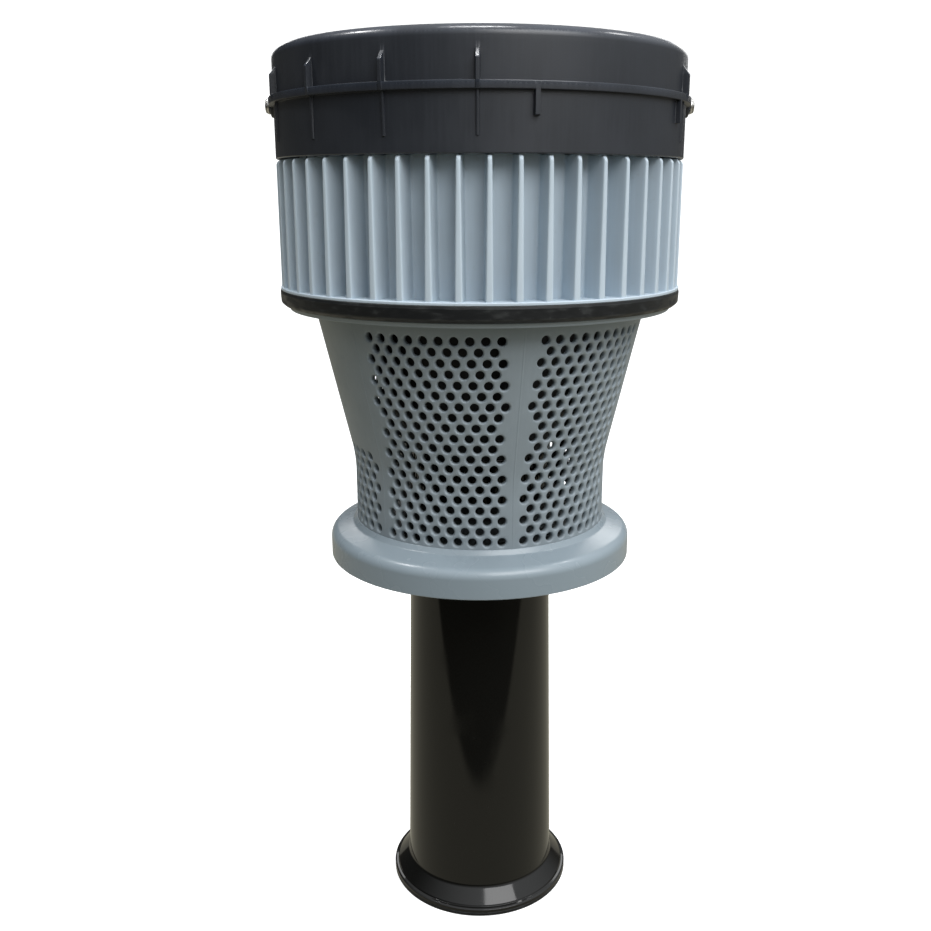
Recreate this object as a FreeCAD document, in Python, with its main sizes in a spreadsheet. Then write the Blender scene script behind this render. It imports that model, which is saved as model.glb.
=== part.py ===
import FreeCAD, Part
import math
import os
import re

import Sketcher
from FreeCAD import Placement, Rotation, Vector

# Pond surface skimmer on a flared down tube, as a parametric FreeCAD document in millimetres.
#
# The origin is the middle of the foot that the skimmer stands on, and +Z is up. Angles about Z
# are counted from the front, which is -Y, towards +X. The stand (tube, flange, strainer cone and
# ribbed housing) stays still. The float collar slides up on it, with a wire carry handle that
# hinges on the collar, and the debris basket lifts out through the collar's mouth.

document = FreeCAD.newDocument("surface_skimmer")

DIMENSIONS = {
    # the gap left between two parts that fit together
    "part_gap": 0.1,
    # down tube: a drafted pipe with a flared foot, on a rubber ring
    "rim_radius": 50.0,
    "rim_seal_height": 2.2,
    "rim_edge_height": 3.9,
    "rim_inner_radius": 46.2,
    "flare_height": 12.5,
    "tube_foot_radius": 41.3,
    "tube_top_radius": 36.65,
    "tube_height": 256.0,
    "tube_wall": 2.5,
    # base flange: a skirt turned down round the pipe that the tube slides into
    "flange_bottom": 198.6,
    "flange_radius": 80.0,
    "flange_shoulder": 212.4,
    "flange_crown": 217.2,
    "flange_wall": 3.0,
    "flange_rounding": 4.0,
    "hub_radius": 41.0,
    "hub_bottom": 204.0,
    "hub_top": 226.0,
    "pipe_rib_radius": 55.6,
    "pipe_rib_thickness": 2.6,
    "cone_locating_rib": 2.2,
    "retaining_ring_width": 2.0,
    "retaining_ring_height": 6.0,
    # strainer cone
    "cone_foot_radius": 65.8,
    "cone_bend_height": 252.0,
    "cone_bend_radius": 70.0,
    "cone_top_radius": 83.8,
    "cone_top": 329.45,
    "cone_wall": 3.0,
    "shelf_radius": 97.0,
    "shelf_top": 331.65,
    "gasket_thickness": 1.0,
    "hole_radius": 2.1,
    "hole_row_pitch": 5.23,
    "hole_arc_pitch": 7.25,
    "top_hole_row": 321.7,
    # ribbed housing
    "ledge_radius": 100.2,
    "ledge_top": 340.75,
    "ledge_thickness": 1.45,
    "housing_foot_wall": 1.6,
    "housing_foot_floor": 2.7,
    "housing_radius": 88.5,
    "housing_bore": 86.0,
    "housing_lip_radius": 85.0,
    "housing_top": 404.0,
    "rib_radius": 99.7,
    "rib_top": 400.7,
    "rib_rounding": 2.5,
    "rib_thickness": 2.5,
    # outlet funnel and its O-ring
    "funnel_top": 342.0,
    "funnel_mouth_radius": 66.5,
    "funnel_wall": 2.5,
    "funnel_throat_radius": 57.5,
    "funnel_throat_height": 303.0,
    "spigot_radius": 33.3,
    "spigot_wall": 2.4,
    "spigot_bottom": 234.0,
    "ring_height": 244.0,
    "ring_centre_radius": 33.13,
    "ring_wire_radius": 1.15,
    "ring_groove_radius": 31.93,
    "ring_groove_half": 1.3,
    # float collar
    "collar_bottom": 401.0,
    "collar_radius": 99.8,
    "collar_wall": 2.5,
    "collar_top": 450.7,
    "collar_rounding": 4.75,
    "mouth_radius": 82.5,
    "collar_skirt_bottom": 436.0,
    "band_bottom": 425.6,
    "band_top": 429.0,
    "band_radius": 102.2,
    "fin_radius": 102.9,
    "fin_shoulder": 437.5,
    "fin_top": 441.2,
    "fin_foot": 408.0,
    "fin_toe": 0.6,
    "gusset_reach": 1.2,
    "fin_thickness": 1.8,
    "lug_bottom": 415.8,
    "lug_thickness": 2.3,
    "sleeve_wall": 2.0,
    "sleeve_bottom": 346.0,
    "sleeve_flange_radius": 85.4,
    "floor_bottom": 404.3,
    "floor_thickness": 2.2,
    # carry handle
    "handle_pivot_height": 426.6,
    "handle_radius": 103.5,
    "handle_wire_radius": 0.9,
    "handle_loop_radius": 3.0,
    "handle_droop": 18.0,
    "ear_radius": 5.5,
    "ear_face": 102.5,
    "pivot_radius": 2.0,
    "pivot_head_radius": 3.6,
    "pivot_head_height": 0.65,
    # debris basket
    "basket_bottom": 342.2,
    "basket_foot_radius": 74.0,
    "basket_top_radius": 79.5,
    "basket_rim_radius": 81.7,
    "basket_rim_bottom": 414.0,
    "basket_rim_top": 417.0,
    "basket_wall": 2.0,
    "basket_slot_width": 3.5,
    "basket_slot_bottom": 352.0,
    "basket_slot_top": 402.0,
    "basket_handle_radius": 77.4,
    "basket_handle_wire": 1.6,
    "basket_pivot_height": 418.8,
    "basket_ear_half_width": 5.0,
    "basket_ear_top": 422.8,
    "basket_ear_chamfer": 2.0,
    "inner_slot_start": 14.0,
    "inner_slot_end": 36.0,
    "outer_slot_start": 42.0,
    "outer_slot_end": 66.0,
}

RIB_COUNT = 48
RIB_PHASE = 2.4
# The collar's fins and lugs stand in two equal groups, half a turn apart.
FIN_ANGLES = [-68.5, -46.1, -23.3, -0.5, 68.0]
LUG_ANGLES = [13.3, 62.5]
HALF_TURNS = (0.0, 180.0)

PANEL_CENTRES = [-15.8 + 60.0 * panel for panel in range(6)]
# The panels at the sides are pierced only in their lower rows.
PART_PIERCED_PANELS = (2, 5)
FIRST_LOWER_ROW = 12
HOLE_ROWS = 20
WIDE_ROWS = 8

SCREW_COUNT = 6
SCREW_CIRCLE = 91.5
SCREW_SHANK_RADIUS = 1.5
SCREW_HEAD_RADIUS = 3.0
SCREW_HEAD_HEIGHT = 1.6
SCREW_TOP = 338.5

WALL_SLOT_COUNT = 36
INNER_SLOT_COUNT = 12
OUTER_SLOT_COUNT = 24


def fill_sheet():
    """The driving dimensions, one row each, with the name as the value cell's alias."""
    sheet = document.addObject("Spreadsheet::Sheet", "Dims")
    for row, (name, size) in enumerate(DIMENSIONS.items(), start=1):
        sheet.set(f"A{row}", name)
        sheet.set(f"B{row}", str(size))
        sheet.setAlias(f"B{row}", name)
    document.recompute()
    return sheet


dims = fill_sheet()


def bound(text):
    """An expression on the sheet: every name in it is looked up in Dims."""
    return re.sub(r"[A-Za-z]\w*", lambda word: "Dims." + word.group(), text)


def value(text):
    """The number that an expression on the sheet comes to."""
    return float(dims.evalExpression(bound(text)))


def tube_radius_at(height):
    """The down tube's outer radius at a height, as an expression, because the tube is drafted."""
    draft = "(tube_foot_radius - tube_top_radius) / (tube_height - flare_height)"
    return f"tube_foot_radius - ({height} - flare_height) * {draft}"


def origin_part(body, role):
    """One of the body's own origin planes or axes."""
    return next(part for part in body.Origin.OriginFeatures if part.Role == role)


def new_body(name):
    body = document.addObject("PartDesign::Body", name)
    body.Label = name
    return body


def new_sketch(body, name, plane, offset=None):
    sketch = body.newObject("Sketcher::SketchObject", name)
    sketch.AttachmentSupport = (origin_part(body, plane), [""])
    sketch.MapMode = "FlatFace"
    if offset:
        sketch.AttachmentOffset = offset
    return sketch


def hold_point(sketch, line, across, up):
    """Hold the start of a line at a place given by two expressions."""
    for kind, text, axis in (("DistanceX", across, -2), ("DistanceY", up, -1)):
        if text == "0":
            sketch.addConstraint(Sketcher.Constraint("PointOnObject", line, 1, axis))
            continue
        number = sketch.addConstraint(Sketcher.Constraint(kind, -1, 1, line, 1, value(text)))
        sketch.setExpression(f"Constraints[{number}]", bound(text))


def draw_outline(sketch, corners):
    """A closed outline of straight lines, each corner held by its two expressions."""
    places = [Vector(value(across), value(up), 0) for across, up in corners]
    for index, place in enumerate(places):
        following = places[(index + 1) % len(places)]
        sketch.addGeometry(Part.LineSegment(place, following))
    for index, (across, up) in enumerate(corners):
        previous = (index - 1) % len(corners)
        sketch.addConstraint(Sketcher.Constraint("Coincident", previous, 2, index, 1))
        hold_point(sketch, index, across, up)


def draw_circle(sketch, up, radius):
    """A circle on the sketch's upright axis, at a height."""
    centre = Vector(0, value(up), 0)
    sketch.addGeometry(Part.Circle(centre, Vector(0, 0, 1), value(radius)))
    sketch.addConstraint(Sketcher.Constraint("PointOnObject", 0, 3, -2))
    number = sketch.addConstraint(Sketcher.Constraint("DistanceY", -1, 1, 0, 3, value(up)))
    sketch.setExpression(f"Constraints[{number}]", bound(up))
    number = sketch.addConstraint(Sketcher.Constraint("Radius", 0, value(radius)))
    sketch.setExpression(f"Constraints[{number}]", bound(radius))


def revolved(name, corners):
    """A body turned about Z from an outline of (radius, height) corners."""
    body = new_body(name)
    sketch = new_sketch(body, name + "_outline", "XZ_Plane")
    draw_outline(sketch, corners)
    turn = body.newObject("PartDesign::Revolution", name + "_turn")
    turn.Profile = sketch
    turn.ReferenceAxis = (sketch, ["V_Axis"])
    turn.Angle = 360
    sketch.Visibility = False
    document.recompute()
    return body


def round_corners(body, name, corners, radius):
    """Round the circular edges that run through these (radius, height) corners."""
    base = body.Tip
    wanted = [(value(across), value(up)) for across, up in corners]
    edges = []
    for index, edge in enumerate(body.Shape.Edges, start=1):
        if not isinstance(edge.Curve, Part.Circle):
            continue
        here = (edge.Curve.Radius, edge.Curve.Center.z)
        if any(math.dist(here, corner) < 1e-3 for corner in wanted):
            edges.append(f"Edge{index}")
    fillet = body.newObject("PartDesign::Fillet", name)
    fillet.Base = (base, edges)
    fillet.setExpression("Radius", bound(radius))
    document.recompute()


def add_fin(body, name, corners, thickness, angle):
    """A flat plate that stands out from Z at an angle, thickened both ways."""
    turned = Placement(Vector(), Rotation(Vector(0, 1, 0), angle - 90))
    sketch = new_sketch(body, name + "_outline", "XZ_Plane", turned)
    draw_outline(sketch, corners)
    pad = body.newObject("PartDesign::Pad", name)
    pad.Profile = sketch
    pad.setExpression("Length", bound(thickness))
    pad.SideType = "Symmetric"
    sketch.Visibility = False
    document.recompute()
    return pad


def cut_through(body, name, sketch):
    """Cut a sketch right through the body, both ways."""
    before = body.Shape.Volume
    pocket = body.newObject("PartDesign::Pocket", name)
    pocket.Profile = sketch
    pocket.Type = "ThroughAll"
    pocket.SideType = "Symmetric"
    sketch.Visibility = False
    document.recompute()
    if body.Shape.Volume > before - 1:
        raise RuntimeError(f"{name} cuts nothing")
    return pocket


def repeat_round(body, name, feature, count):
    """Repeat a feature evenly round Z."""
    pattern = body.newObject("PartDesign::PolarPattern", name)
    pattern.Originals = [feature]
    pattern.Axis = (origin_part(body, "Z_Axis"), [""])
    pattern.Angle = 360
    pattern.Occurrences = count
    body.Tip = pattern
    document.recompute()


def fused(name, pieces):
    fuse = document.addObject("Part::MultiFuse", name)
    fuse.Label = name
    fuse.Shapes = pieces
    document.recompute()
    return fuse


def cut_away(name, base, tool):
    cut = document.addObject("Part::Cut", name)
    cut.Label = name
    cut.Base = base
    cut.Tool = tool
    document.recompute()
    return cut


def cylinder(name, radius, height, placement):
    rod = document.addObject("Part::Cylinder", name)
    rod.setExpression("Radius", bound(radius))
    rod.setExpression("Height", bound(height))
    rod.Placement = placement
    return rod


def torus(name, radius, wire_radius, sweep, placement):
    ring = document.addObject("Part::Torus", name)
    ring.setExpression("Radius1", bound(radius))
    ring.setExpression("Radius2", bound(wire_radius))
    ring.Angle3 = sweep
    ring.Placement = placement
    return ring


def along_x(side):
    """Turns a piece made along +Z so that it points along +X, or along -X for side -1."""
    return Rotation(Vector(0, 1, 0), 90 * side)


# ---- the stand -------------------------------------------------------------------------------


def make_down_tube():
    return revolved("down_tube", [
        ("rim_inner_radius", "rim_seal_height"),
        ("rim_radius", "rim_seal_height"),
        ("rim_radius", "rim_edge_height"),
        ("rim_radius - 0.8", "rim_edge_height + 0.5"),
        ("tube_foot_radius", "flare_height"),
        ("tube_top_radius", "tube_height"),
        ("tube_top_radius - tube_wall", "tube_height"),
        ("tube_foot_radius - tube_wall", "flare_height - 1"),
    ])


def make_rim_seal():
    return revolved("rim_seal", [
        ("rim_inner_radius", "0"),
        ("rim_radius - 0.3", "0"),
        ("rim_radius", "0.3"),
        ("rim_radius", "rim_seal_height"),
        ("rim_inner_radius", "rim_seal_height"),
    ])


def make_base_flange():
    """A skirt and a floor in one: the hub grips the tube, and a rib centres the pipe below."""
    bore_low = tube_radius_at("hub_bottom") + " + part_gap"
    bore_high = tube_radius_at("hub_top") + " + part_gap"
    rib_outer = "cone_foot_radius - cone_wall - part_gap"
    rib_inner = rib_outer + " - cone_locating_rib"
    rib_top = "flange_crown + cone_locating_rib"
    body = revolved("base_flange", [
        ("flange_radius - flange_wall", "flange_bottom"),
        ("flange_radius", "flange_bottom"),
        ("flange_radius", "flange_shoulder"),
        ("cone_foot_radius", "flange_crown"),
        (rib_outer, "flange_crown"),
        (rib_outer, rib_top),
        (rib_inner, rib_top),
        (rib_inner, "flange_crown"),
        ("hub_radius", "flange_crown"),
        ("hub_radius", "hub_top"),
        (bore_high, "hub_top"),
        (bore_low, "hub_bottom"),
        ("hub_radius", "hub_bottom"),
        ("hub_radius", "flange_crown - flange_wall"),
        ("pipe_rib_radius", "flange_crown - flange_wall"),
        ("pipe_rib_radius", "hub_bottom"),
        ("pipe_rib_radius + pipe_rib_thickness", "hub_bottom"),
        ("pipe_rib_radius + pipe_rib_thickness", "flange_crown - flange_wall"),
        ("flange_radius - flange_wall", "flange_shoulder - flange_wall"),
    ])
    round_corners(body, "flange_shoulder_round", [("flange_radius", "flange_shoulder")], "flange_rounding")
    return body


def holes_in_row(row):
    """Ten and nine in turn near the cone's wide top, and eight and nine below."""
    if row % 2:
        return 9
    return 10 if row < WIDE_ROWS else 8


def cone_radius_at(height):
    """The cone's outer radius: upright below the bend, sloping above it."""
    slope = value("(cone_top_radius - cone_foot_radius) / (cone_top - cone_bend_height)")
    return value("cone_foot_radius") + max(0.0, height - value("cone_bend_height")) * slope


def six_sided_rod(start, outward, corner_radius, length):
    """A rod of hexagonal section from a start point outwards, with corners left and right."""
    sideways = outward.cross(Vector(0, 0, 1))
    corners = []
    for corner in range(7):
        turn = math.radians(60 * corner)
        corners.append(start + (sideways * math.cos(turn) + Vector(0, 0, math.sin(turn))) * corner_radius)
    return Part.Face(Part.makePolygon(corners)).extrude(outward * length)


def make_strainer_rods():
    """A group of rods, one through each hole of the strainer.

    Each hole is six-sided with the open area of a round one, which keeps the cone's file small.
    """
    rods = []
    same_area = math.sqrt(2 * math.pi / (3 * math.sqrt(3)))
    corner_radius = value("hole_radius") * same_area
    for panel, centre in enumerate(PANEL_CENTRES):
        first_row = FIRST_LOWER_ROW if panel in PART_PIERCED_PANELS else 0
        for row in range(first_row, HOLE_ROWS):
            height = value("top_hole_row") - row * value("hole_row_pitch")
            radius = cone_radius_at(height)
            count = holes_in_row(row)
            for place in range(count):
                along = (place - (count - 1) / 2) * value("hole_arc_pitch")
                angle = math.radians(centre) + along / radius
                outward = Vector(math.sin(angle), -math.cos(angle), 0)
                start = outward * (radius - value("cone_wall * 2")) + Vector(0, 0, height)
                rods.append(six_sided_rod(start, outward, corner_radius, value("cone_wall * 3")))
    group = document.addObject("Part::Feature", "strainer_rods")
    group.Shape = Part.makeCompound(rods)
    return group


def make_strainer_cone(screws):
    """A cone on an upright foot, with a shelf at its top, pierced in panels."""
    body = revolved("strainer_wall", [
        ("cone_foot_radius - cone_wall", "flange_crown"),
        ("cone_foot_radius", "flange_crown"),
        ("cone_foot_radius", "cone_bend_height"),
        ("cone_top_radius", "cone_top"),
        ("shelf_radius - 1", "cone_top"),
        ("shelf_radius", "shelf_top"),
        ("cone_top_radius - 2.5", "shelf_top"),
        ("cone_foot_radius - cone_wall", "cone_bend_height"),
    ])
    bend = [("cone_foot_radius", "cone_bend_height"), ("cone_foot_radius - cone_wall", "cone_bend_height")]
    round_corners(body, "cone_bend", bend, "cone_bend_radius")
    drilled = cut_away("strainer_drilled", body, screws)
    return cut_away("strainer_cone", drilled, make_strainer_rods())


def make_seal_band():
    """A rubber band round the joint between the strainer's shelf and the housing's ledge."""
    band_top = "ledge_top - ledge_thickness - part_gap / 2"
    return revolved("seal_band", [
        ("shelf_radius + part_gap / 2", "shelf_top + part_gap"),
        ("shelf_radius + 1.6", "shelf_top + part_gap"),
        ("ledge_radius + 0.2", "shelf_top + 1.6"),
        ("ledge_radius + 0.4", band_top),
        ("shelf_radius + part_gap / 2", band_top),
    ])


def make_ribbed_housing(screws):
    """A straight wall on a stepped foot, with ribs all round and a lip inside its top."""
    foot_inner = "shelf_radius - housing_foot_wall"
    foot_floor = "shelf_top + housing_foot_floor"
    body = revolved("housing_shell", [
        (foot_inner, "shelf_top"),
        ("shelf_radius", "shelf_top"),
        ("shelf_radius", "ledge_top - ledge_thickness"),
        ("ledge_radius", "ledge_top - ledge_thickness"),
        ("ledge_radius", "ledge_top"),
        ("housing_radius", "ledge_top"),
        ("housing_radius", "housing_top"),
        ("housing_lip_radius", "housing_top"),
        ("housing_lip_radius", "housing_top - 3"),
        ("housing_bore", "housing_top - 4"),
        ("housing_bore", foot_floor),
        (foot_inner, foot_floor),
    ])
    rib = add_fin(body, "rib", [
        ("housing_radius - 1", "ledge_top - 0.5"),
        ("rib_radius", "ledge_top - 0.5"),
        ("rib_radius", "rib_top - rib_rounding"),
        ("rib_radius - 0.29 * rib_rounding", "rib_top - 0.29 * rib_rounding"),
        ("rib_radius - rib_rounding", "rib_top"),
        ("housing_radius - 1", "rib_top + 1"),
    ], "rib_thickness", RIB_PHASE)
    repeat_round(body, "ribs", rib, RIB_COUNT)
    return cut_away("ribbed_housing", body, screws)


def make_outlet_funnel(screws):
    """A rim clamped under the housing, two slopes, and a spigot with an O-ring groove."""
    rim_outer = "shelf_radius - housing_foot_wall - 2 * part_gap"
    rim_top = "shelf_top + housing_foot_floor - part_gap"
    body = revolved("funnel_shell", [
        ("housing_bore - funnel_wall", "shelf_top + gasket_thickness"),
        (rim_outer, "shelf_top + gasket_thickness"),
        (rim_outer, rim_top),
        ("housing_bore - part_gap", rim_top),
        ("housing_bore - part_gap", "funnel_top"),
        ("funnel_mouth_radius", "funnel_top"),
        ("funnel_throat_radius - funnel_wall", "funnel_throat_height"),
        ("spigot_radius - spigot_wall", "tube_height + 2"),
        ("spigot_radius - spigot_wall", "spigot_bottom"),
        ("spigot_radius", "spigot_bottom"),
        ("spigot_radius", "ring_height - ring_groove_half"),
        ("ring_groove_radius", "ring_height - ring_groove_half"),
        ("ring_groove_radius", "ring_height + ring_groove_half"),
        ("spigot_radius", "ring_height + ring_groove_half"),
        ("spigot_radius", "tube_height + part_gap"),
        ("tube_top_radius", "tube_height + part_gap"),
        ("funnel_throat_radius", "funnel_throat_height"),
        ("funnel_mouth_radius - 0.5", "funnel_top - funnel_wall"),
        ("housing_bore - funnel_wall", "funnel_top - funnel_wall"),
    ])
    return cut_away("outlet_funnel", body, screws)


def make_funnel_gasket(screws):
    """A flat rubber ring between the strainer's shelf and the funnel's rim."""
    outer = "shelf_radius - housing_foot_wall - 2 * part_gap"
    body = revolved("gasket_ring", [
        ("housing_bore - funnel_wall", "shelf_top"),
        (outer, "shelf_top"),
        (outer, "shelf_top + gasket_thickness"),
        ("housing_bore - funnel_wall", "shelf_top + gasket_thickness"),
    ])
    return cut_away("funnel_gasket", body, screws)


def make_tube_retaining_ring():
    """A split collar that grips the tube and sits on the flange's hub."""
    grip = tube_radius_at("hub_top") + " + part_gap / 2"
    outer = "hub_radius + retaining_ring_width"
    top = "hub_top + retaining_ring_height"
    return revolved("tube_retaining_ring", [
        (grip, "hub_top"),
        (outer, "hub_top"),
        (outer, top + " - retaining_ring_width"),
        ("hub_radius", top),
        (grip, top),
    ])


def make_tube_o_ring():
    ring = torus("tube_o_ring", "ring_centre_radius", "ring_wire_radius", 360, Placement())
    ring.setExpression("Placement.Base.z", bound("ring_height"))
    return ring


def make_housing_screws():
    """Screws up into the housing's foot, with their heads sunk in the strainer's shelf."""
    head_seat = value("cone_top") + SCREW_HEAD_HEIGHT
    pieces = []
    for number in range(SCREW_COUNT):
        angle = math.radians(RIB_PHASE + number * 360 / SCREW_COUNT)
        seat = Vector(SCREW_CIRCLE * math.sin(angle), -SCREW_CIRCLE * math.cos(angle), head_seat)
        head_foot = seat - Vector(0, 0, SCREW_HEAD_HEIGHT)
        head = cylinder(f"screw_head_{number}", str(SCREW_HEAD_RADIUS), str(SCREW_HEAD_HEIGHT),
                        Placement(head_foot, Rotation()))
        shank = cylinder(f"screw_shank_{number}", str(SCREW_SHANK_RADIUS),
                         str(SCREW_TOP - head_seat), Placement(seat, Rotation()))
        pieces += [head, shank]
    return fused("housing_screws", pieces)


# ---- the float collar ------------------------------------------------------------------------


def add_handle_ears(body):
    """A round ear at each side of the collar, drilled for the handle's pivot screw."""
    start = "collar_radius - 1"
    for side, word in ((1, "right"), (-1, "left")):
        shift = Placement(Vector(0, 0, side * value(start)), Rotation())
        sketch = new_sketch(body, f"ear_{word}_outline", "YZ_Plane", shift)
        draw_circle(sketch, "handle_pivot_height", "ear_radius")
        pad = body.newObject("PartDesign::Pad", f"ear_{word}")
        pad.Profile = sketch
        pad.setExpression("Length", bound(f"ear_face - ({start})"))
        pad.Reversed = side < 0
        sketch.Visibility = False
        document.recompute()
    hole = new_sketch(body, "pivot_hole_outline", "YZ_Plane")
    draw_circle(hole, "handle_pivot_height", "pivot_radius")
    cut_through(body, "pivot_hole", hole)


def make_collar_shell():
    """The collar's outer wall, its rounded weir rim and a short skirt inside the mouth."""
    body = revolved("collar_shell", [
        ("collar_radius - collar_wall", "collar_bottom"),
        ("collar_radius", "collar_bottom"),
        ("collar_radius", "band_bottom"),
        ("band_radius", "band_bottom"),
        ("band_radius", "band_top"),
        ("collar_radius", "band_top"),
        ("collar_radius", "collar_top"),
        ("mouth_radius", "collar_top"),
        ("mouth_radius", "collar_skirt_bottom"),
        ("mouth_radius + collar_wall", "collar_skirt_bottom"),
        ("mouth_radius + collar_wall", "collar_top - collar_wall"),
        ("collar_radius - collar_wall", "collar_top - collar_wall"),
    ])
    outside = [("collar_radius", "collar_top"), ("mouth_radius", "collar_top")]
    inside = [
        ("collar_radius - collar_wall", "collar_top - collar_wall"),
        ("mouth_radius + collar_wall", "collar_top - collar_wall"),
    ]
    round_corners(body, "weir_rim", outside, "collar_rounding")
    round_corners(body, "weir_rim_inside", inside, "collar_rounding - collar_wall")
    for half_turn in HALF_TURNS:
        for number, angle in enumerate(FIN_ANGLES):
            add_fin(body, f"fin_{number}_{half_turn:.0f}", [
                ("collar_radius - 1", "fin_foot"),
                ("collar_radius + fin_toe", "fin_foot"),
                ("collar_radius + gusset_reach", "band_bottom + 0.5"),
                ("fin_radius", "band_top"),
                ("fin_radius", "fin_shoulder"),
                ("collar_radius", "fin_top"),
                ("collar_radius - 1", "fin_top"),
            ], "fin_thickness", angle + half_turn)
        for number, angle in enumerate(LUG_ANGLES):
            add_fin(body, f"lug_{number}_{half_turn:.0f}", [
                ("collar_radius - 1", "lug_bottom"),
                ("band_radius", "lug_bottom"),
                ("band_radius", "band_bottom + 1"),
                ("collar_radius - 1", "band_bottom + 1"),
            ], "lug_thickness", angle + half_turn)
    add_handle_ears(body)
    return body


def make_collar_floor():
    """The float chamber's floor and inner wall, an L-shaped ring."""
    inner = "mouth_radius + sleeve_wall + part_gap"
    outer = "collar_radius - collar_wall - part_gap"
    return revolved("collar_floor", [
        (inner, "floor_bottom"),
        (outer, "floor_bottom"),
        (outer, "floor_bottom + floor_thickness"),
        (inner + " + floor_thickness", "floor_bottom + floor_thickness"),
        (inner + " + floor_thickness", "collar_skirt_bottom - part_gap"),
        (inner, "collar_skirt_bottom - part_gap"),
    ])


def make_float_foam():
    """A foam ring that fills the float chamber, with a loose fit all round."""
    inner = "mouth_radius + sleeve_wall + floor_thickness + 0.6"
    outer = "collar_radius - collar_wall - 0.6"
    foot = "floor_bottom + floor_thickness + 0.3"
    top = "collar_skirt_bottom + 5"
    return revolved("float_foam", [(inner, foot), (outer, foot), (outer, top), (inner, top)])


def make_weir_sleeve():
    """The sleeve that slides in the housing's bore, with two flanges that hold its seal."""
    return revolved("weir_sleeve", [
        ("mouth_radius", "sleeve_bottom"),
        ("sleeve_flange_radius", "sleeve_bottom"),
        ("sleeve_flange_radius", "sleeve_bottom + 2.5"),
        ("mouth_radius + sleeve_wall", "sleeve_bottom + 2.5"),
        ("mouth_radius + sleeve_wall", "sleeve_bottom + 7.2"),
        ("sleeve_flange_radius", "sleeve_bottom + 7.2"),
        ("sleeve_flange_radius", "sleeve_bottom + 9"),
        ("mouth_radius + sleeve_wall", "sleeve_bottom + 9"),
        ("mouth_radius + sleeve_wall", "collar_skirt_bottom - part_gap / 2"),
        ("mouth_radius", "collar_skirt_bottom - part_gap / 2"),
    ])


def make_sleeve_seal():
    return revolved("sleeve_seal", [
        ("mouth_radius + sleeve_wall + part_gap / 2", "sleeve_bottom + 2.6"),
        ("housing_bore - 0.4", "sleeve_bottom + 2.6"),
        ("housing_bore - 0.07", "sleeve_bottom + 4"),
        ("housing_bore - 0.07", "sleeve_bottom + 5.7"),
        ("housing_bore - 0.4", "sleeve_bottom + 7.1"),
        ("mouth_radius + sleeve_wall + part_gap / 2", "sleeve_bottom + 7.1"),
    ])


def make_handle_pivot_screws():
    """A shouldered screw at each side, through the handle's loop into the ear."""
    tip = value("collar_radius - collar_wall + part_gap")
    seat = "handle_radius + handle_wire_radius + part_gap / 2"
    pieces = []
    for side, word in ((1, "right"), (-1, "left")):
        shank_start = Vector(side * tip, 0, value("handle_pivot_height"))
        head_start = Vector(side * value(seat), 0, value("handle_pivot_height"))
        shank = cylinder(f"pivot_shank_{word}", "pivot_radius", f"{seat} - {tip}",
                         Placement(shank_start, along_x(side)))
        head = cylinder(f"pivot_head_{word}", "pivot_head_radius", "pivot_head_height",
                        Placement(head_start, along_x(side)))
        pieces += [shank, head]
    return fused("handle_pivot_screws", pieces)


def make_carry_handle():
    """A half ring of wire with a loop at each end, drooping behind the collar."""
    pivot = Vector(0, 0, value("handle_pivot_height"))
    bow_centre = pivot + Vector(0, value("handle_loop_radius"), 0)
    pieces = [torus("handle_bow", "handle_radius", "handle_wire_radius", 180,
                    Placement(bow_centre, Rotation()))]
    for side, word in ((1, "right"), (-1, "left")):
        centre = pivot + Vector(side * value("handle_radius"), 0, 0)
        pieces.append(torus(f"handle_loop_{word}", "handle_loop_radius", "handle_wire_radius", 360,
                            Placement(centre, along_x(side))))
    handle = fused("carry_handle", pieces)
    droop = Rotation(Vector(1, 0, 0), -value("handle_droop"))
    handle.Placement = Placement(Vector(), droop, pivot)
    return handle


# ---- the debris basket -----------------------------------------------------------------------


def add_basket_ears(body):
    """Two upright ears on the rim, drilled for the handle's pins."""
    side_edge = "basket_ear_half_width"
    corner = "(basket_ear_half_width - basket_ear_chamfer)"
    corner_height = "basket_ear_top - basket_ear_chamfer"
    outer = "basket_rim_radius - 0.4"
    inner = "basket_handle_radius + basket_handle_wire + 0.4"
    for side, word in ((1, "right"), (-1, "left")):
        shift = Placement(Vector(0, 0, side * value(inner)), Rotation())
        sketch = new_sketch(body, f"basket_ear_{word}_outline", "YZ_Plane", shift)
        draw_outline(sketch, [
            ("-" + side_edge, "basket_rim_top - 0.5"),
            (side_edge, "basket_rim_top - 0.5"),
            (side_edge, corner_height),
            (corner, "basket_ear_top"),
            ("-" + corner, "basket_ear_top"),
            ("-" + side_edge, corner_height),
        ])
        pad = body.newObject("PartDesign::Pad", f"basket_ear_{word}")
        pad.Profile = sketch
        pad.setExpression("Length", bound(f"{outer} - ({inner})"))
        pad.Reversed = side < 0
        sketch.Visibility = False
        document.recompute()
    hole = new_sketch(body, "basket_pivot_outline", "YZ_Plane")
    draw_circle(hole, "basket_pivot_height", "basket_handle_wire + part_gap")
    cut_through(body, "basket_pivot", hole)


def add_floor_slots(body, name, inner, outer, count):
    """Radial slots through the basket's floor, between two radii."""
    sketch = new_sketch(body, name + "_outline", "XY_Plane")
    draw_outline(sketch, [
        (inner, "-basket_slot_width / 2"),
        (outer, "-basket_slot_width / 2"),
        (outer, "basket_slot_width / 2"),
        (inner, "basket_slot_width / 2"),
    ])
    repeat_round(body, name + "_ring", cut_through(body, name, sketch), count)


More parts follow.
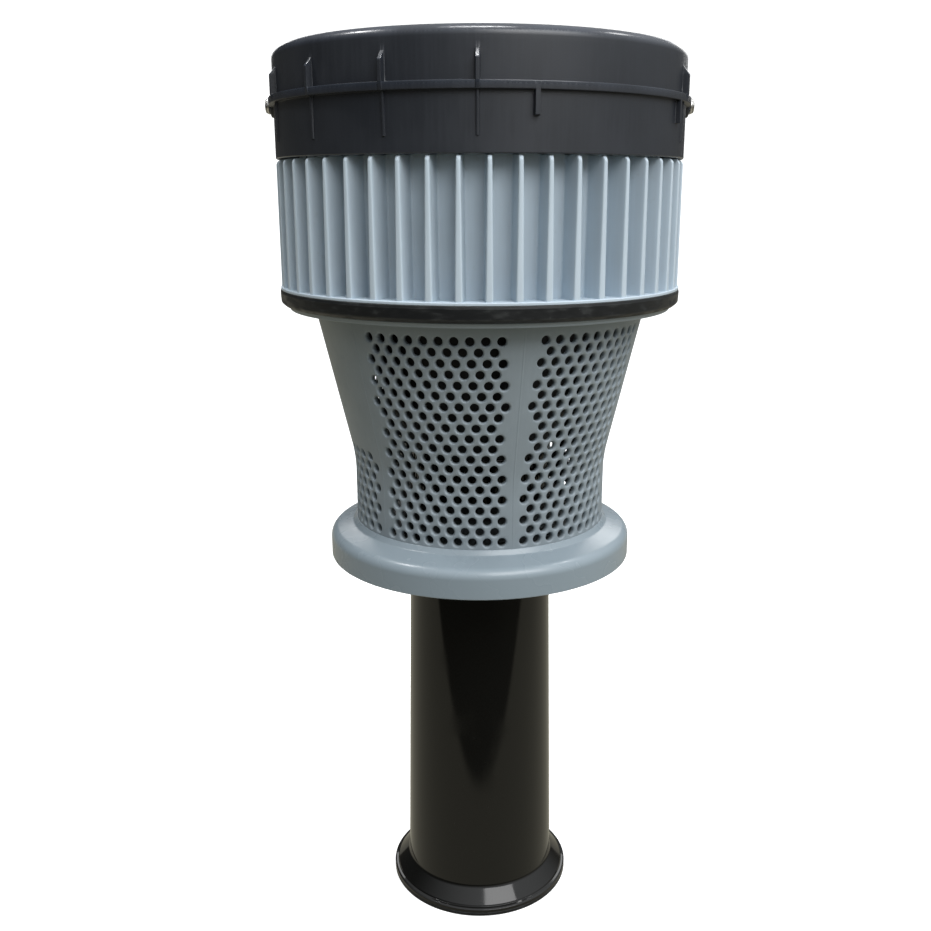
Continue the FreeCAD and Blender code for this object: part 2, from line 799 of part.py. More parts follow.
def make_debris_basket():
    """A slotted bucket with a rolled rim and two ears for its handle."""
    body = revolved("debris_basket", [
        ("0", "basket_bottom"),
        ("basket_foot_radius", "basket_bottom"),
        ("basket_top_radius", "basket_rim_bottom"),
        ("basket_rim_radius", "basket_rim_bottom"),
        ("basket_rim_radius", "basket_rim_top"),
        ("basket_top_radius - basket_wall", "basket_rim_top"),
        ("basket_foot_radius - basket_wall", "basket_bottom + basket_wall"),
        ("0", "basket_bottom + basket_wall"),
    ])
    add_basket_ears(body)
    slot = new_sketch(body, "wall_slot_outline", "XZ_Plane")
    draw_outline(slot, [
        ("-basket_slot_width / 2", "basket_slot_bottom"),
        ("basket_slot_width / 2", "basket_slot_bottom"),
        ("basket_slot_width / 2", "basket_slot_top"),
        ("-basket_slot_width / 2", "basket_slot_top"),
    ])
    repeat_round(body, "wall_slots", cut_through(body, "wall_slot", slot), WALL_SLOT_COUNT)
    add_floor_slots(body, "inner_floor_slot", "inner_slot_start", "inner_slot_end", INNER_SLOT_COUNT)
    add_floor_slots(body, "outer_floor_slot", "outer_slot_start", "outer_slot_end", OUTER_SLOT_COUNT)
    return body


def make_basket_handle():
    """A half ring that folds down on the rim, with a pin at each end."""
    pivot = Vector(0, 0, value("basket_pivot_height"))
    pieces = [torus("basket_bow", "basket_handle_radius", "basket_handle_wire", 180,
                    Placement(pivot, Rotation()))]
    for side, word in ((1, "right"), (-1, "left")):
        start = pivot + Vector(side * value("basket_handle_radius"), 0, 0)
        pieces.append(cylinder(f"basket_pin_{word}", "basket_handle_wire",
                               "basket_rim_radius - basket_handle_radius - 0.4",
                               Placement(start, along_x(side))))
    return fused("basket_handle", pieces)


# ---- build, check and write ------------------------------------------------------------------


def make_sub_parts():
    screws = make_housing_screws()
    return [
        make_down_tube(),
        make_rim_seal(),
        make_base_flange(),
        make_strainer_cone(screws),
        make_seal_band(),
        make_ribbed_housing(screws),
        make_outlet_funnel(screws),
        make_funnel_gasket(screws),
        make_tube_o_ring(),
        make_tube_retaining_ring(),
        screws,
        make_collar_shell(),
        make_collar_floor(),
        make_float_foam(),
        make_weir_sleeve(),
        make_sleeve_seal(),
        make_handle_pivot_screws(),
        make_carry_handle(),
        make_debris_basket(),
        make_basket_handle(),
    ]


def check_document(sub_parts):
    """Stop if any object failed to build, or a sub-part isn't whole."""
    for item in document.Objects:
        if "Invalid" in item.State or "Error" in item.State:
            raise RuntimeError(f"{item.Name} failed: {item.State}")
    for part in sub_parts:
        if part.Shape.isNull() or not part.Shape.isValid() or not part.Shape.Solids:
            raise RuntimeError(f"{part.Label} is not a valid solid")


def write_sub_parts(sub_parts):
    os.makedirs("parts", exist_ok=True)
    for part in sub_parts:
        part.Shape.exportStep(f"parts/{part.Label}.step")
        print(f"{part.Label}: {len(part.Shape.Solids)} solids, {part.Shape.Volume / 1000:.1f} cm3")


sub_parts = make_sub_parts()
document.recompute()
check_document(sub_parts)
write_sub_parts(sub_parts)
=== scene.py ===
"""Looks of the pond skimmer, built round its CAD frame.

Lengths are in millimetres until a mesh is made; the stage, lights and camera are in metres. Angles
are in degrees about the upright axis, counted from the front, which is -Y, towards +X, as in the CAD.
"""

import math

import bmesh
import bpy
from mathutils import Matrix, Vector
from mathutils.geometry import delaunay_2d_cdt


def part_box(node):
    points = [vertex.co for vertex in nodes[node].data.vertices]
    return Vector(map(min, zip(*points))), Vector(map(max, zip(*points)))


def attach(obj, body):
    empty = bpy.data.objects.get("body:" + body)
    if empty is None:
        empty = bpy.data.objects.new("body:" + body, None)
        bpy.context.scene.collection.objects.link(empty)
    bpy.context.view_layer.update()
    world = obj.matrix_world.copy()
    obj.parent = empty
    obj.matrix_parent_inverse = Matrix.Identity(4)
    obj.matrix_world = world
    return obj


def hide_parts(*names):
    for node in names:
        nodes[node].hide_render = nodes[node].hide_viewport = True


MM = 0.001

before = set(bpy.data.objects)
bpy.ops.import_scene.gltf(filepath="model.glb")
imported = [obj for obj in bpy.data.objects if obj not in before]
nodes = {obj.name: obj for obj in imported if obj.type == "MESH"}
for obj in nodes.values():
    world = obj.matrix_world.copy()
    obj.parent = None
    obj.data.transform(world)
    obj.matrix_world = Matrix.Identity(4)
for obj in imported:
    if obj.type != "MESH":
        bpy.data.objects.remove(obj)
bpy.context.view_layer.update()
scene = bpy.context.scene


# ---- reading the frame ----


def low(node):
    """The height of a CAD node's lowest point."""
    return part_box(node)[0].z / MM


def high(node):
    """The height of a CAD node's highest point."""
    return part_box(node)[1].z / MM


def reach(node):
    """How far a CAD node stands out from the axis towards the front."""
    return -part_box(node)[0].y / MM


# ---- making meshes ----


def at(radius, angle, height):
    """A point at a radius, an angle and a height."""
    turn = math.radians(angle)
    return Vector((radius * math.sin(turn), -radius * math.cos(turn), height))


def turn_direction(before, here, after):
    """Positive where an outline turns left at a corner."""
    first = Vector(here) - Vector(before)
    second = Vector(after) - Vector(here)
    return first.x * second.y - first.y * second.x


def outline_area(corners):
    """Twice the area inside an outline, positive where it runs anticlockwise."""
    total = 0.0
    for index, corner in enumerate(corners):
        following = corners[(index + 1) % len(corners)]
        total += corner[0] * following[1] - following[0] * corner[1]
    return total


def rounded(corners, steps=4):
    """Points of a closed outline of (radius, height, rounding) corners, with their edge wear.

    Wear is 1 in the middle of an outward corner's rounding, and 0 elsewhere.
    """
    way_round = math.copysign(1, outline_area(corners))
    points = []
    for index, (across, up, rounding) in enumerate(corners):
        before = corners[index - 1][:2]
        after = corners[(index + 1) % len(corners)][:2]
        here = Vector((across, up))
        if rounding == 0:
            points.append((across, up, 0.0))
            continue
        back = (Vector(before) - here).normalized()
        ahead = (Vector(after) - here).normalized()
        half = back.angle(ahead) / 2
        centre = here + (back + ahead).normalized() * rounding / math.sin(half)
        start = here + back * rounding / math.tan(half) - centre
        end = here + ahead * rounding / math.tan(half) - centre
        sweep = start.angle(end)
        outward = turn_direction(before, here, after) * way_round > 0
        for step in range(steps + 1):
            share = step / steps
            spoke = start * math.sin((1 - share) * sweep) + end * math.sin(share * sweep)
            place = centre + spoke / math.sin(sweep)
            points.append((place.x, place.y, math.sin(share * math.pi) if outward else 0.0))
    return points


def new_object(name, made, material, body):
    """An object from a finished bmesh in millimetres, riding on a CAD body."""
    bmesh.ops.remove_doubles(made, verts=made.verts, dist=1e-4)
    bmesh.ops.recalc_face_normals(made, faces=made.faces)
    bmesh.ops.scale(made, vec=(MM, MM, MM), verts=made.verts)
    mesh = bpy.data.meshes.new(name)
    made.to_mesh(mesh)
    made.free()
    mesh.shade_smooth()
    mesh.set_sharp_from_angle(angle=math.radians(40))
    mesh.materials.append(material)
    piece = bpy.data.objects.new(name, mesh)
    scene.collection.objects.link(piece)
    weighted = piece.modifiers.new("weighted_normals", "WEIGHTED_NORMAL")
    weighted.keep_sharp = True
    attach(piece, body)
    return piece


def add_skin(made, rings, wears, closed=True):
    """Skin a row of closed rings of points; each ring's points, or each ring, has its wear."""
    layer = made.verts.layers.float.get("wear") or made.verts.layers.float.new("wear")
    rows = []
    for ring, wear in zip(rings, wears):
        row = []
        for index, place in enumerate(ring):
            vertex = made.verts.new(place)
            vertex[layer] = wear[index] if isinstance(wear, list) else wear
            row.append(vertex)
        rows.append(row)
    count = len(rings[0])
    for index in range(len(rows) if closed else len(rows) - 1):
        here, following = rows[index], rows[(index + 1) % len(rows)]
        for place in range(count):
            beyond = (place + 1) % count
            made.faces.new((here[place], here[beyond], following[beyond], following[place]))


def add_lathe(made, outline, segments=256, place=None):
    """Turn a closed outline of (radius, height, wear) points about Z, then move it by a matrix."""
    rings = []
    for radius, height, _ in outline:
        ring = [at(radius, 360 * step / segments, height) for step in range(segments)]
        rings.append([place @ point for point in ring] if place else ring)
    add_skin(made, rings, [wear for _, _, wear in outline])


def lathe(name, corners, material, body, segments=256, steps=4):
    """A piece turned about Z from (radius, height, rounding) corners."""
    made = bmesh.new()
    add_lathe(made, rounded(corners, steps), segments)
    return new_object(name, made, material, body)


def add_wire(made, path, radius, closed=False, sides=16):
    """A round wire along a path of points, with flat ends if the path is open."""
    rings = []
    count = len(path)
    side = None
    for index, place in enumerate(path):
        before = path[index - 1] if closed or index else place
        after = path[(index + 1) % count] if closed or index < count - 1 else place
        along = (after - before).normalized()
        if side is None:
            side = along.orthogonal()
        side = (side - along * side.dot(along)).normalized()
        up = along.cross(side)
        ring = []
        for step in range(sides):
            turn = 2 * math.pi * step / sides
            ring.append(place + (side * math.cos(turn) + up * math.sin(turn)) * radius)
        rings.append(ring)
    if not closed:
        rings = [[path[0]] * sides] + rings + [[path[-1]] * sides]
    add_skin(made, rings, [0.0] * len(rings), closed=closed)


# ---- materials ----


def spread_over(tree, source, start, end, low_value, high_value):
    """In a node tree, the source from start to end, spread over low_value to high_value."""
    node = tree.nodes.new("ShaderNodeMapRange")
    node.interpolation_type = "SMOOTHSTEP"
    amounts = {"From Min": start, "From Max": end, "To Min": low_value, "To Max": high_value}
    for name, amount in amounts.items():
        node.inputs[name].default_value = amount
    tree.links.new(source, node.inputs["Value"])
    return node.outputs["Result"]


class Finish:
    """A material's node tree, with short ways to add nodes to it."""

    def __init__(self, name, colour, roughness, **sockets):
        self.material = bpy.data.materials.new(name)
        self.material.use_nodes = True
        self.tree = self.material.node_tree
        self.shader = self.tree.nodes["Principled BSDF"]
        self.shader.inputs["Base Color"].default_value = (*colour, 1)
        self.shader.inputs["Roughness"].default_value = roughness
        for socket, amount in sockets.items():
            self.shader.inputs[socket.replace("_", " ")].default_value = amount
        self.colour = colour
        self.roughness = roughness
        self.place = self.add("ShaderNodeTexCoord").outputs["Object"]
        self.normal = None

    def add(self, kind, **settings):
        """A new node of a kind, with its settings."""
        node = self.tree.nodes.new(kind)
        for name, setting in settings.items():
            setattr(node, name, setting)
        return node

    def join(self, source, target):
        self.tree.links.new(source, target)

    def noise(self, size, detail=3.0, stretch=1.0):
        """Noise with features of a size in millimetres, longer along Z by a stretch."""
        mapping = self.add("ShaderNodeMapping")
        mapping.inputs["Scale"].default_value = (1, 1, 1 / stretch)
        self.join(self.place, mapping.inputs["Vector"])
        texture = self.add("ShaderNodeTexNoise")
        texture.inputs["Scale"].default_value = 1 / (size * MM)
        texture.inputs["Detail"].default_value = detail
        self.join(mapping.outputs["Vector"], texture.inputs["Vector"])
        return texture.outputs["Fac"]

    def spread(self, source, start, end, low_value=0.0, high_value=1.0):
        """The source from start to end, spread over low_value to high_value and held there."""
        return spread_over(self.tree, source, start, end, low_value, high_value)

    def multiply(self, first, second):
        """The first times the second, which may be a plain number."""
        node = self.add("ShaderNodeMath", operation="MULTIPLY")
        self.join(first, node.inputs[0])
        if isinstance(second, float):
            node.inputs[1].default_value = second
        else:
            self.join(second, node.inputs[1])
        return node.outputs["Value"]

    def wear(self):
        """The wear that the mesh carries on its rounded edges."""
        return self.add("ShaderNodeAttribute", attribute_name="wear").outputs["Fac"]

    def inside(self):
        """How far inside a hollow piece the mesh says a place is, from 0 to 1."""
        return self.add("ShaderNodeAttribute", attribute_name="inside").outputs["Fac"]

    def tint(self, factor, colour):
        """Mix a colour in by a factor, over what the base colour is so far."""
        mix = self.add("ShaderNodeMix", data_type="RGBA")
        base = self.shader.inputs["Base Color"]
        if base.links:
            self.join(base.links[0].from_socket, mix.inputs["A"])
        else:
            mix.inputs["A"].default_value = base.default_value
        mix.inputs["B"].default_value = (*colour, 1)
        self.join(factor, mix.inputs["Factor"])
        self.join(mix.outputs["Result"], base)

    def shift_roughness(self, factor, amount):
        """Add an amount to the roughness where the factor is 1."""
        node = self.add("ShaderNodeMath", operation="MULTIPLY_ADD", use_clamp=True)
        socket = self.shader.inputs["Roughness"]
        self.join(factor, node.inputs[0])
        node.inputs[1].default_value = amount
        if socket.links:
            self.join(socket.links[0].from_socket, node.inputs[2])
        else:
            node.inputs[2].default_value = socket.default_value
        self.join(node.outputs["Value"], socket)

    def bump(self, height, depth):
        """Raise the surface by up to a depth in millimetres, on top of earlier bumps."""
        node = self.add("ShaderNodeBump")
        node.inputs["Strength"].default_value = 1.0
        node.inputs["Distance"].default_value = depth * MM
        self.join(height, node.inputs["Height"])
        if self.normal:
            self.join(self.normal, node.inputs["Normal"])
        self.normal = node.outputs["Normal"]
        self.join(self.normal, self.shader.inputs["Normal"])


def lighter(colour, factor):
    """A colour with its channels multiplied, up to white."""
    return tuple(min(1.0, channel * factor) for channel in colour)


# Painted shade darkening what is enclosed, and how much of it the strainer and the flange take.
INSIDE_PAINTED_SHADE = (0.03, 0.032, 0.028)
PAINTED_SHADE_SHARE = 0.8


def make_charcoal_plastic():
    """Dark satin moulding with faint drawn streaks, polished on its rim and edges."""
    base = (0.0122, 0.0148, 0.0205)
    finish = Finish("charcoal_plastic", base, 0.40, Specular_IOR_Level=0.5)
    streaks = finish.noise(1.1, detail=4, stretch=24)
    patches = finish.noise(28, detail=3)
    grain = finish.noise(0.35, detail=2)
    finish.tint(finish.spread(streaks, 0.40, 0.70, 0, 0.35), lighter(base, 1.5))
    finish.tint(finish.spread(patches, 0.40, 0.70, 0, 0.5), lighter(base, 1.3))
    finish.tint(finish.multiply(finish.wear(), finish.spread(patches, 0.3, 0.6, 0.2, 0.6)),
                lighter(base, 3.0))
    finish.shift_roughness(finish.wear(), -0.24)
    finish.shift_roughness(finish.spread(patches, 0.35, 0.7), 0.08)
    finish.shift_roughness(finish.spread(streaks, 0.4, 0.7), 0.05)
    finish.bump(streaks, 0.010)
    finish.bump(grain, 0.010)
    return finish.material


def make_grey_plastic(name, base, painted_shade_inside):
    """Light blue-grey satin moulding with fine grain and faint flow streaks, with painted shade inside.
    """
    finish = Finish(name, base, 0.42, Specular_IOR_Level=0.4)
    streaks = finish.noise(1.6, detail=4, stretch=18)
    patches = finish.noise(34, detail=3)
    grain = finish.noise(0.4, detail=3)
    dirt = finish.noise(6, detail=5)
    finish.tint(finish.spread(streaks, 0.4, 0.72, 0, 0.35), lighter(base, 1.10))
    finish.tint(finish.spread(patches, 0.42, 0.68, 0, 0.4), lighter(base, 0.9))
    finish.tint(finish.spread(dirt, 0.66, 0.78, 0, 0.2), (0.27, 0.29, 0.285))
    finish.tint(finish.multiply(finish.wear(), 0.4), lighter(base, 1.25))
    # Painted shade, darker towards the inside of a hollow piece.
    finish.tint(finish.multiply(finish.inside(), painted_shade_inside), INSIDE_PAINTED_SHADE)
    finish.shift_roughness(finish.spread(patches, 0.35, 0.7), 0.08)
    finish.shift_roughness(finish.spread(dirt, 0.55, 0.75), 0.10)
    finish.bump(grain, 0.02)
    finish.bump(streaks, 0.015)
    return finish.material


def make_grey_gloss():
    """The housing's grey made darker, partly the flange's own tone and partly painted shade, with a
    smoother, shinier skin and painted shade where the cone encloses it.
    """
    # Darker than the housing's grey: partly the flange's own tone, partly painted shade of the lower
    # parts.
    base = (0.245, 0.298, 0.336)
    finish = Finish("grey_gloss", base, 0.25, Specular_IOR_Level=0.5)
    patches = finish.noise(18, detail=2)
    grain = finish.noise(0.5, detail=2)
    specks = finish.noise(1.6, detail=2)
    finish.tint(finish.spread(patches, 0.1, 0.9, 0, 0.2), lighter(base, 0.92))
    finish.tint(finish.spread(specks, 0.70, 0.85, 0, 0.25), (0.22, 0.235, 0.23))
    finish.tint(finish.multiply(finish.wear(), 0.3), lighter(base, 1.25))
    # Painted shade where the cone encloses the flange.
    finish.tint(finish.multiply(finish.inside(), PAINTED_SHADE_SHARE), INSIDE_PAINTED_SHADE)
    finish.shift_roughness(finish.spread(patches, 0.1, 0.9), 0.04)
    finish.bump(grain, 0.006)
    return finish.material


def make_black_gloss():
    """Polished black tube with faint ripples along it and smudges."""
    base = (0.0045, 0.0045, 0.0040)
    finish = Finish("black_gloss", base, 0.05, Specular_IOR_Level=0.4)
    ripple = finish.noise(10, detail=1, stretch=8)
    smudge = finish.noise(14, detail=4, stretch=2)
    specks = finish.noise(0.9, detail=2)
    finish.tint(finish.spread(specks, 0.72, 0.8, 0, 0.35), (0.05, 0.047, 0.042))
    finish.shift_roughness(finish.spread(smudge, 0.45, 0.75), 0.08)
    finish.tint(finish.multiply(finish.wear(), 0.5), (0.03, 0.03, 0.03))
    finish.bump(ripple, 0.05)
    return finish.material


def make_black_rubber():
    """Near-black rubber, smudged with pale dust."""
    base = (0.008, 0.009, 0.010)
    finish = Finish("black_rubber", base, 0.40, Specular_IOR_Level=0.3)
    smears = finish.noise(7, detail=5, stretch=0.35)
    fine = finish.noise(0.8, detail=3)
    finish.tint(finish.spread(smears, 0.52, 0.74, 0, 0.6), (0.035, 0.038, 0.038))
    finish.tint(finish.spread(fine, 0.70, 0.78, 0, 0.5), (0.10, 0.105, 0.10))
    finish.tint(finish.multiply(finish.wear(), finish.spread(smears, 0.4, 0.6, 0.1, 0.5)),
                (0.05, 0.053, 0.053))
    finish.shift_roughness(finish.spread(smears, 0.4, 0.7), 0.25)
    finish.bump(smears, 0.12)
    finish.bump(fine, 0.03)
    return finish.material


def make_black_satin():
    """Satin black moulding of the parts inside."""
    base = (0.016, 0.017, 0.018)
    finish = Finish("black_satin", base, 0.38)
    patches = finish.noise(20, detail=3)
    grain = finish.noise(0.5, detail=3)
    finish.tint(finish.spread(patches, 0.4, 0.7, 0, 0.5), lighter(base, 1.7))
    finish.tint(finish.multiply(finish.wear(), 0.6), lighter(base, 3.0))
    finish.shift_roughness(finish.spread(patches, 0.35, 0.7), 0.12)
    finish.bump(grain, 0.02)
    return finish.material


def make_stainless_steel():
    """Bright drawn stainless wire."""
    finish = Finish("stainless_steel", (0.62, 0.61, 0.59), 0.22, Metallic=1.0)
    scratches = finish.noise(0.4, detail=3, stretch=0.3)
    stains = finish.noise(4, detail=4)
    finish.tint(finish.spread(stains, 0.5, 0.7, 0, 0.4), (0.42, 0.40, 0.37))
    finish.shift_roughness(finish.spread(scratches, 0.4, 0.7), 0.15)
    finish.bump(scratches, 0.01)
    return finish.material


def make_white_foam():
    """Closed-cell float foam."""
    finish = Finish("white_foam", (0.74, 0.74, 0.70), 0.8)
    cells = finish.noise(1.2, detail=2)
    finish.tint(finish.spread(cells, 0.45, 0.65, 0, 0.4), (0.6, 0.6, 0.56))
    finish.bump(cells, 0.2)
    return finish.material


charcoal_plastic = make_charcoal_plastic()
grey_plastic = make_grey_plastic("grey_plastic", (0.440, 0.518, 0.584), 0.0)
# The cone's grey is darker than the housing's: partly its own tone, partly painted shade under the
# housing's overhang.
shaded_cone_plastic = make_grey_plastic("grey_plastic_cone_shaded", (0.235, 0.278, 0.308), PAINTED_SHADE_SHARE)
grey_gloss = make_grey_gloss()
black_gloss = make_black_gloss()
black_rubber = make_black_rubber()
black_satin = make_black_satin()
stainless_steel = make_stainless_steel()
white_foam = make_white_foam()


# ---- the tube and the flange ----

RIM_RADIUS = reach("rim_seal")
RIM_INNER_RADIUS = RIM_RADIUS - 3.8
TUBE_FOOT_RADIUS = 41.3
TUBE_TOP_RADIUS = 36.65
TUBE_WALL = 2.5
FLARE_HEIGHT = 12.5
TUBE_TOP = high("down_tube")


def make_tube():
    """The drafted pipe with its flared foot, the groove round its rim, and the rubber ring."""
    seam = low("down_tube")
    edge = seam + 1.7
    tube = lathe("down_tube_visual", [
        (RIM_INNER_RADIUS, seam, 0.2),
        (RIM_RADIUS, seam, 0.25),
        (RIM_RADIUS, edge, 0.5),
        (RIM_RADIUS - 0.8, edge + 0.5, 0.25),
        (RIM_RADIUS - 1.9, edge + 0.75, 0.3),
        (RIM_RADIUS - 2.3, edge + 1.5, 0.3),
        (TUBE_FOOT_RADIUS, FLARE_HEIGHT, 3.0),
        (TUBE_TOP_RADIUS, TUBE_TOP, 0.6),
        (TUBE_TOP_RADIUS - TUBE_WALL, TUBE_TOP, 0.6),
        (TUBE_FOOT_RADIUS - TUBE_WALL, FLARE_HEIGHT - 1, 3.0),
    ], black_gloss, "stand", steps=6)
    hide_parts("down_tube")
    seal = lathe("rim_seal_visual", [
        (RIM_INNER_RADIUS, 0, 0.5),
        (RIM_RADIUS, 0, 0.7),
        (RIM_RADIUS, seam, 0.4),
        (RIM_INNER_RADIUS, seam, 0.3),
    ], black_rubber, "stand")
    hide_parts("rim_seal")


FLANGE_RADIUS = reach("base_flange")
FLANGE_BOTTOM = low("base_flange")
FLANGE_WALL = 3.0
FLANGE_SHOULDER = FLANGE_BOTTOM + 13.8
FLANGE_CROWN = low("strainer_cone")
CONE_FOOT_RADIUS = 65.8
CONE_WALL = 3.0
HUB_RADIUS = 41.0
HUB_BOTTOM = 204.0
HUB_TOP = 226.0
PIPE_RIB_RADIUS = 55.6
PIPE_RIB_THICKNESS = 2.6
# The spigot inside the cone's foot is as thick as it is high; the bead outside hides the joint.
SPIGOT = 2.2
BEAD_WIDTH = 2.2
BEAD_HEIGHT = 1.7
CONE_GAP = 0.15
TUBE_GAP = 0.7


def make_flange():
    """The skirt, its floor, the hub that grips the tube and the rib that centres the pipe."""
    bore = TUBE_TOP_RADIUS + TUBE_GAP
    inside = CONE_FOOT_RADIUS - CONE_WALL - 0.1
    flange = lathe("base_flange_visual", [
        (FLANGE_RADIUS - FLANGE_WALL, FLANGE_BOTTOM, 0.6),
        (FLANGE_RADIUS, FLANGE_BOTTOM, 0.6),
        (FLANGE_RADIUS, FLANGE_SHOULDER, 5.6),
        (CONE_FOOT_RADIUS + BEAD_WIDTH, FLANGE_CROWN - 0.75, 1.6),
        (CONE_FOOT_RADIUS + 0.35, FLANGE_CROWN + BEAD_HEIGHT, 0.3),
        (CONE_FOOT_RADIUS + CONE_GAP, FLANGE_CROWN + BEAD_HEIGHT, 0),
        (CONE_FOOT_RADIUS + CONE_GAP, FLANGE_CROWN - CONE_GAP, 0),
        (inside, FLANGE_CROWN, 0),
        (inside, FLANGE_CROWN + SPIGOT, 0.3),
        (inside - SPIGOT, FLANGE_CROWN + SPIGOT, 0.3),
        (inside - SPIGOT, FLANGE_CROWN, 0.4),
        (HUB_RADIUS, FLANGE_CROWN, 0.8),
        (HUB_RADIUS, HUB_TOP, 0.5),
        (bore, HUB_TOP, 0.3),
        (bore + 0.35, HUB_BOTTOM, 0.3),
        (HUB_RADIUS, HUB_BOTTOM, 0.5),
        (HUB_RADIUS, FLANGE_CROWN - FLANGE_WALL, 0.8),
        (PIPE_RIB_RADIUS, FLANGE_CROWN - FLANGE_WALL, 0.6),
        (PIPE_RIB_RADIUS, HUB_BOTTOM, 0.4),
        (PIPE_RIB_RADIUS + PIPE_RIB_THICKNESS, HUB_BOTTOM, 0.4),
        (PIPE_RIB_RADIUS + PIPE_RIB_THICKNESS, FLANGE_CROWN - FLANGE_WALL, 0.6),
        (FLANGE_RADIUS - FLANGE_WALL, FLANGE_SHOULDER - FLANGE_WALL, 2.5),
    ], grey_gloss, "stand", steps=6)
    # What the cone encloses gets painted shade, as the cone's own inside does.
    enclosed = flange.data.attributes.new("inside", "FLOAT", "POINT")
    for vertex, shade_value in zip(flange.data.vertices, enclosed.data):
        x, y, height = vertex.co / MM
        shade_value.value = float(math.hypot(x, y) < CONE_FOOT_RADIUS and height > FLANGE_CROWN - 1)
    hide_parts("base_flange")


# ---- the strainer cone ----

CONE_BEND = 252.0
CONE_BEND_RADIUS = 70.0
CONE_TOP_RADIUS = 83.8
CONE_TOP = 329.45
SHELF_TOP = high("strainer_cone")
SHELF_RADIUS = reach("strainer_cone")

HOLE_RADIUS = 2.1
HOLE_SIDES = 16
HOLE_ROWS = 20
WIDE_ROWS = 8
FIRST_LOWER_ROW = 12
TOP_HOLE_ROW = 321.7
ROW_PITCH = 5.23
ARC_PITCH = 7.25
HOLES_IN_ODD_ROW = 9
HOLES_IN_WIDE_ROW = 10
HOLES_IN_NARROW_ROW = 8
PANEL_COUNT = 6
SECTOR = 360 / PANEL_COUNT
FIRST_PANEL = -15.8
PART_PIERCED_PANELS = (2, 5)
# A hole's softened rim, as (how much wider than the hole, how deep, wear).
RIM_RINGS = ((0.85, 0.0, 0.0), (0.48, 0.20, 0.6), (0.14, 0.58, 1.0), (0.0, 1.1, 0.0))
SEAM_HEIGHT = 0.14
# Angles from a sector's edge: where the seam's sides run out, and where even spacing begins.
SEAM_SIDES = (0.25, 0.55)
SEAM_MARGIN = 1.4
# Plain parts of a sector get points this far apart, and this far from a hole's middle.
POINT_SPACING = 3.0
HOLE_MARGIN = 3.1

cone_line = rounded([
    (0, FLANGE_CROWN, 0),
    (CONE_FOOT_RADIUS, FLANGE_CROWN, 0),
    (CONE_FOOT_RADIUS, CONE_BEND, CONE_BEND_RADIUS),
    (CONE_TOP_RADIUS, CONE_TOP, 0),
    (0, CONE_TOP, 0),
], 10)[1:-1]


def cone_radius(height):
    """The cone's outer radius at a height, along its bent line."""
    for (first, start, _), (second, end, _) in zip(cone_line, cone_line[1:]):
        if height <= end or (second, end) == cone_line[-1][:2]:
            return first + (second - first) * (height - start) / (end - start)


def sector_angles():
    """Angles across one sector, closer together beside the moulding seam at its edge."""
    steps = 30
    width = SECTOR - 2 * SEAM_MARGIN
    plain = [SEAM_MARGIN + width * step / steps for step in range(steps + 1)]
    far_side = [SECTOR - angle for angle in reversed(SEAM_SIDES)]
    return [-SECTOR / 2 + angle for angle in (0.0, *SEAM_SIDES, *plain, *far_side)]


def panel_holes(panel):
    """The (angle from the panel's middle, height) of each hole in a panel."""
    holes = []
    for row in range(FIRST_LOWER_ROW if panel in PART_PIERCED_PANELS else 0, HOLE_ROWS):
        height = TOP_HOLE_ROW - row * ROW_PITCH
        even_count = HOLES_IN_WIDE_ROW if row < WIDE_ROWS else HOLES_IN_NARROW_ROW
        count = HOLES_IN_ODD_ROW if row % 2 else even_count
        for place in range(count):
            along = (place - (count - 1) / 2) * ARC_PITCH
            holes.append((math.degrees(along / cone_radius(height)), height))
    return holes


def hole_point(angle, height, ring_radius, turn, depth):
    """A point of a ring round a hole, at a depth below the cone's outer face."""
    up = height + ring_radius * math.sin(turn)
    radius = cone_radius(up) - depth
    return angle + math.degrees(ring_radius * math.cos(turn) / radius), up, radius


def sector_layout(panel):
    """Flat points and triangles of a sector's face, with its holes left open.

    Gives the (angle, height) points, how many points come before the holes' rings, the
    triangles and the holes.
    """
    flat_scale = math.radians(1) * (CONE_FOOT_RADIUS + CONE_TOP_RADIUS) / 2
    angles = sector_angles() + [SECTOR / 2]
    levels = math.ceil((CONE_TOP - FLANGE_CROWN) / POINT_SPACING)
    heights = [FLANGE_CROWN + (CONE_TOP - FLANGE_CROWN) * step / levels for step in range(levels + 1)]
    holes = panel_holes(panel)

    border = [(angle, heights[0]) for angle in angles]
    border += [(angles[-1], height) for height in heights[1:]]
    border += [(angle, heights[-1]) for angle in reversed(angles[:-1])]
    border += [(angles[0], height) for height in reversed(heights[1:-1])]
    plain = []
    for angle in angles[1:-1]:
        beside_seam = abs(angle) > SECTOR / 2 - 1
        for height in heights[1:-1]:
            away = min(
                math.hypot(math.radians(angle - middle) * cone_radius(height), height - up)
                for middle, up in holes
            )
            if beside_seam or away > HOLE_MARGIN:
                plain.append((angle, height))
    points = border + plain
    ring_start = len(points)
    turns = [2 * math.pi * step / HOLE_SIDES for step in range(HOLE_SIDES)]
    for middle, up in holes:
        for turn in turns:
            angle, height, _ = hole_point(middle, up, HOLE_RADIUS + RIM_RINGS[0][0], turn, 0)
            points.append((angle, height))

    outlines = [list(range(len(border)))]
    for number in range(len(holes)):
        first = ring_start + number * HOLE_SIDES
        outlines.append(list(range(first, first + HOLE_SIDES)))
    flat = [Vector((angle * flat_scale, height)) for angle, height in points]
    _, _, faces, originals, _, inside = delaunay_2d_cdt(flat, [], outlines, 1, 1e-6)
    triangles = []
    for face, outlines_inside in zip(faces, inside):
        if outlines_inside == [0]:
            triangles.append([originals[corner][0] for corner in face])
    return points, ring_start, triangles, holes


